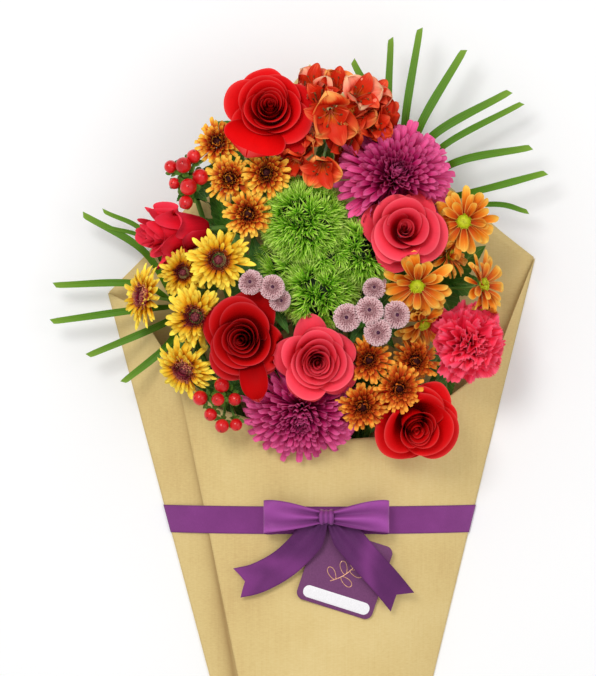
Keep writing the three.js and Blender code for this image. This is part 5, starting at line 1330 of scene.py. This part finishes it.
def ribbon_bow(look):
    """The two loops, the two tails and the knot. A tail has painted shade near the knot that lightens towards
    its end, with a painted highlight of the shape of a bell curve, and the left one has a band of painted
    shade behind that."""
    skin = Skin()
    along = np.linspace(0, 1, TAIL_ROWS)[:, None]
    across = np.linspace(1, -1, TAIL_COLUMNS)[None, :]
    # Painted highlight across each tail, and painted shade in the left tail's dark band and near the knot.
    painted_sheen = 0.24 * np.exp(-((along - 0.55 + 0.12 * across) / 0.1) ** 2)
    left_tone = 0.5 * along ** 1.4 + painted_sheen - 0.12 * np.exp(-((along - 0.74 - 0.1 * across) / 0.07) ** 2)
    parts = [bow_loop(-1), bow_loop(1), (bow_tail(LEFT_TAIL), np.clip(left_tone, 0, 1)),
             (bow_tail(RIGHT_TAIL), 0.18 * along + 1.3 * painted_sheen), bow_knot()]
    for grid, tone in parts:
        skin.add(grid, tone)
    piece = skin.build("ribbon_bow_satin", [look], "satin_ribbon", ["ribbon_bow"])
    area = sum(area_of(grid) for grid, _ in parts)
    return piece


def plate(width, height, corner, levels, count=12):
    """A flat plate with round corners as one grid: its outline scaled by the share and raised to the z of
    each level. The outline is a quarter circle round each corner's middle."""
    points = []
    for i, (sx, sy) in enumerate([(1, 1), (-1, 1), (-1, -1), (1, -1)]):
        for turn in np.linspace(i, i + 1, count) * np.pi / 2:
            points.append([sx * (width / 2 - corner) + corner * math.cos(turn),
                           sy * (height / 2 - corner) + corner * math.sin(turn)])
    outline = np.array(points + points[:1])
    return np.stack([np.column_stack([outline * share, np.full(len(outline), z)]) for share, z in levels])


TAG_PLACE = (36.5, -146.0)  # x and y of its middle
TAG_LOW = -178.0  # y at which the tag's lower edge rests on the paper
TAG_TURN = -0.317  # radians, in its own plane
SPRIG_LEVEL = 0.8  # height of the sprig on the tag
# Leaves of the sprig: place on its stalk, direction in radians, length.
SPRIG_LEAVES = [(3, 2.35, 11), (7, -0.45, 11), (10, 2.1, 11), (14, -0.1, 10.5), (17, 1.95, 9), (20, 0.5, 8)]


def gift_tag():
    """The card with its white writing strip, and a small leaf sprig in rose-gold outline. A leaf's outline
    runs out and back by a cosine while it swings to both sides by a sine."""
    card, strip, sprig = Skin(), Skin(), Skin()
    card.add(plate(63, 61, 6, [(0, 0), (0.5, 0), (0.994, 0), (1, 0.15), (1, 0.62), (0.99, 0.78), (0.5, 0.78),
                               (0, 0.78)]))
    strip.add(plate(55, 9.8, 4.7, [(1, 0.79), (0.99, 0.84), (0.5, 0.84), (0, 0.84)]) + [0.6, -22.6, 0])
    ends = [[-9, -9.5, SPRIG_LEVEL], [0, -4, SPRIG_LEVEL], [6, 4, SPRIG_LEVEL], [7, 13, SPRIG_LEVEL]]
    stalk = bezier(ends, 24)
    sprig.add(tube(stalk, 0.42, 7))
    t = np.linspace(0, 2 * np.pi, 33)
    for place, turn, length in SPRIG_LEAVES:
        out, aside = length * (0.5 - 0.5 * np.cos(t)), 2.6 * np.sin(t) * (1 - 0.25 * np.cos(t))
        lens = np.stack([out, aside, 0 * t], -1)
        sprig.add(tube(lens @ spin(turn).T + stalk[place], 0.38, 7))
    matrix = turn_to([0.066, -0.12, 1]) @ spin(TAG_TURN)
    rest = front_at(TAG_PLACE[0], TAG_LOW) + GAP + 0.15 + 0.12 * (TAG_PLACE[1] - TAG_LOW)
    whole = Skin()
    for slot, part in enumerate((card, strip, sprig)):
        part.paint(slot)
        whole.join(part, matrix, np.array([*TAG_PLACE, rest]))
    looks = [grained_material("tag_plum", "6A2F62", "773A6E", 900, rough=0.6),
             grained_material("tag_white", "F0EEF0", "FCFAFC", 900),
             grained_material("rose_gold", "D89A7C", "F0BC9C", 600, rough=0.35, Metallic=0.6)]
    return whole.build("gift_tag_card", looks, "tag_card", ["gift_tag"])


def stem_tie():
    """Raffia wound flat round the stems: a smooth line through the corners of the bundle, drawn along it."""
    back, front = 3 * STEM_PITCH + STEM + GAP + 0.5, 2 * STEM_PITCH + STEM + GAP + 0.5
    low, high = STEM_FLOOR - STEM - GAP - 0.6, STEM_FLOOR + 3 * STEM_PITCH + STEM + GAP + 0.6
    side = [(back - 1, low), (back + 0.6, low + 2), (back + 0.6, low + STEM_PITCH),
            (front + 1.2, high - STEM_PITCH), (front + 0.4, high - 1.5), (front - 2, high)]
    mirrored = [(-x, z) for x, z in side[::-1]]
    corners = np.array([mirrored[-1], (0, low), *side, (0, high), *mirrored])
    rows = []
    for y in np.linspace(-4.5, 4.5, 15):
        line = np.column_stack([corners[:, 0] + TIE_X, np.full(len(corners), TIE_Y + y), corners[:, 1]])
        rows.append(smooth_line(line, 90))
    grid = np.stack(rows, 1)
    skin = Skin()
    skin.add(grid)
    raffia = grained_material("raffia", "B8A070", "DCC89A", 400, rough=0.8)
    piece = skin.build("stem_tie_raffia", [raffia], "raffia", ["stem_tie"])
    area = area_of(grid) * MM * MM
    return piece


# The studio, in metres: what the lights point at, then each one's name, place, size and power, and the
# heights of the camera and of what it sees on the floor.
LOOK_AT = np.array([0, 0.03, 0.05])
LIGHTS = (("key", (-0.7, 0.9, 2.4), 0.8, 27), ("fill", (1.5, 0.1, 2.3), 1.6, 10))
EYE_HEIGHT, PICTURE_HEIGHT = 4, 0.5408


def studio():
    """A pale floor, soft light from above the left shoulder, and the camera over the bouquet."""
    n = Nodes("floor_white")
    colour = n.ramp(n.noise(n.place(), 2, 3), [(0.3, "FAFAFA"), (0.7, "FEFEFE")])
    mesh = bpy.data.meshes.new("floor")
    mesh.from_pydata([(-4, -4, 0), (4, -4, 0), (4, 4, 0), (-4, 4, 0)], [], [(0, 1, 2, 3)])
    mesh.materials.append(n.finish(colour, 0.9, Specular_IOR_Level=0.1))
    floor = bpy.data.objects.new("floor", mesh)
    scene = bpy.context.scene
    scene.collection.objects.link(floor)
    floor.location.z = -0.0005

    world = bpy.data.worlds.new("studio")
    world.use_nodes = True
    world.node_tree.nodes["Background"].inputs[0].default_value = (1, 1, 1, 1)
    world.node_tree.nodes["Background"].inputs[1].default_value = 0.62
    scene.world = world
    for name, place, size, power in LIGHTS:
        light = bpy.data.lights.new(name, "AREA")
        light.energy, light.size = power, size
        lamp = bpy.data.objects.new(name, light)
        lamp.location = place
        direction = LOOK_AT - place
        turn = math.atan2(direction[1], direction[0])
        tilt = math.acos(-direction[2] / np.linalg.norm(direction))
        lamp.rotation_euler = (0, tilt, turn + math.pi)
        scene.collection.objects.link(lamp)

    lens = bpy.data.cameras.new("camera")
    lens.sensor_fit, lens.sensor_height, lens.lens = "VERTICAL", 24, 24 * EYE_HEIGHT / PICTURE_HEIGHT
    eye = bpy.data.objects.new("camera", lens)
    eye.location = (-0.0004, 0.04, EYE_HEIGHT)
    scene.collection.objects.link(eye)
    scene.camera = eye
    scene.view_settings.view_transform = "Standard"


crowd = Crowd()
grow_flowers(crowd)
grow_berries()
grow_greens(crowd)
paper()
satin = satin_material()
ribbon_band(satin)
ribbon_bow(satin)
gift_tag()
stem_tie()
studio()
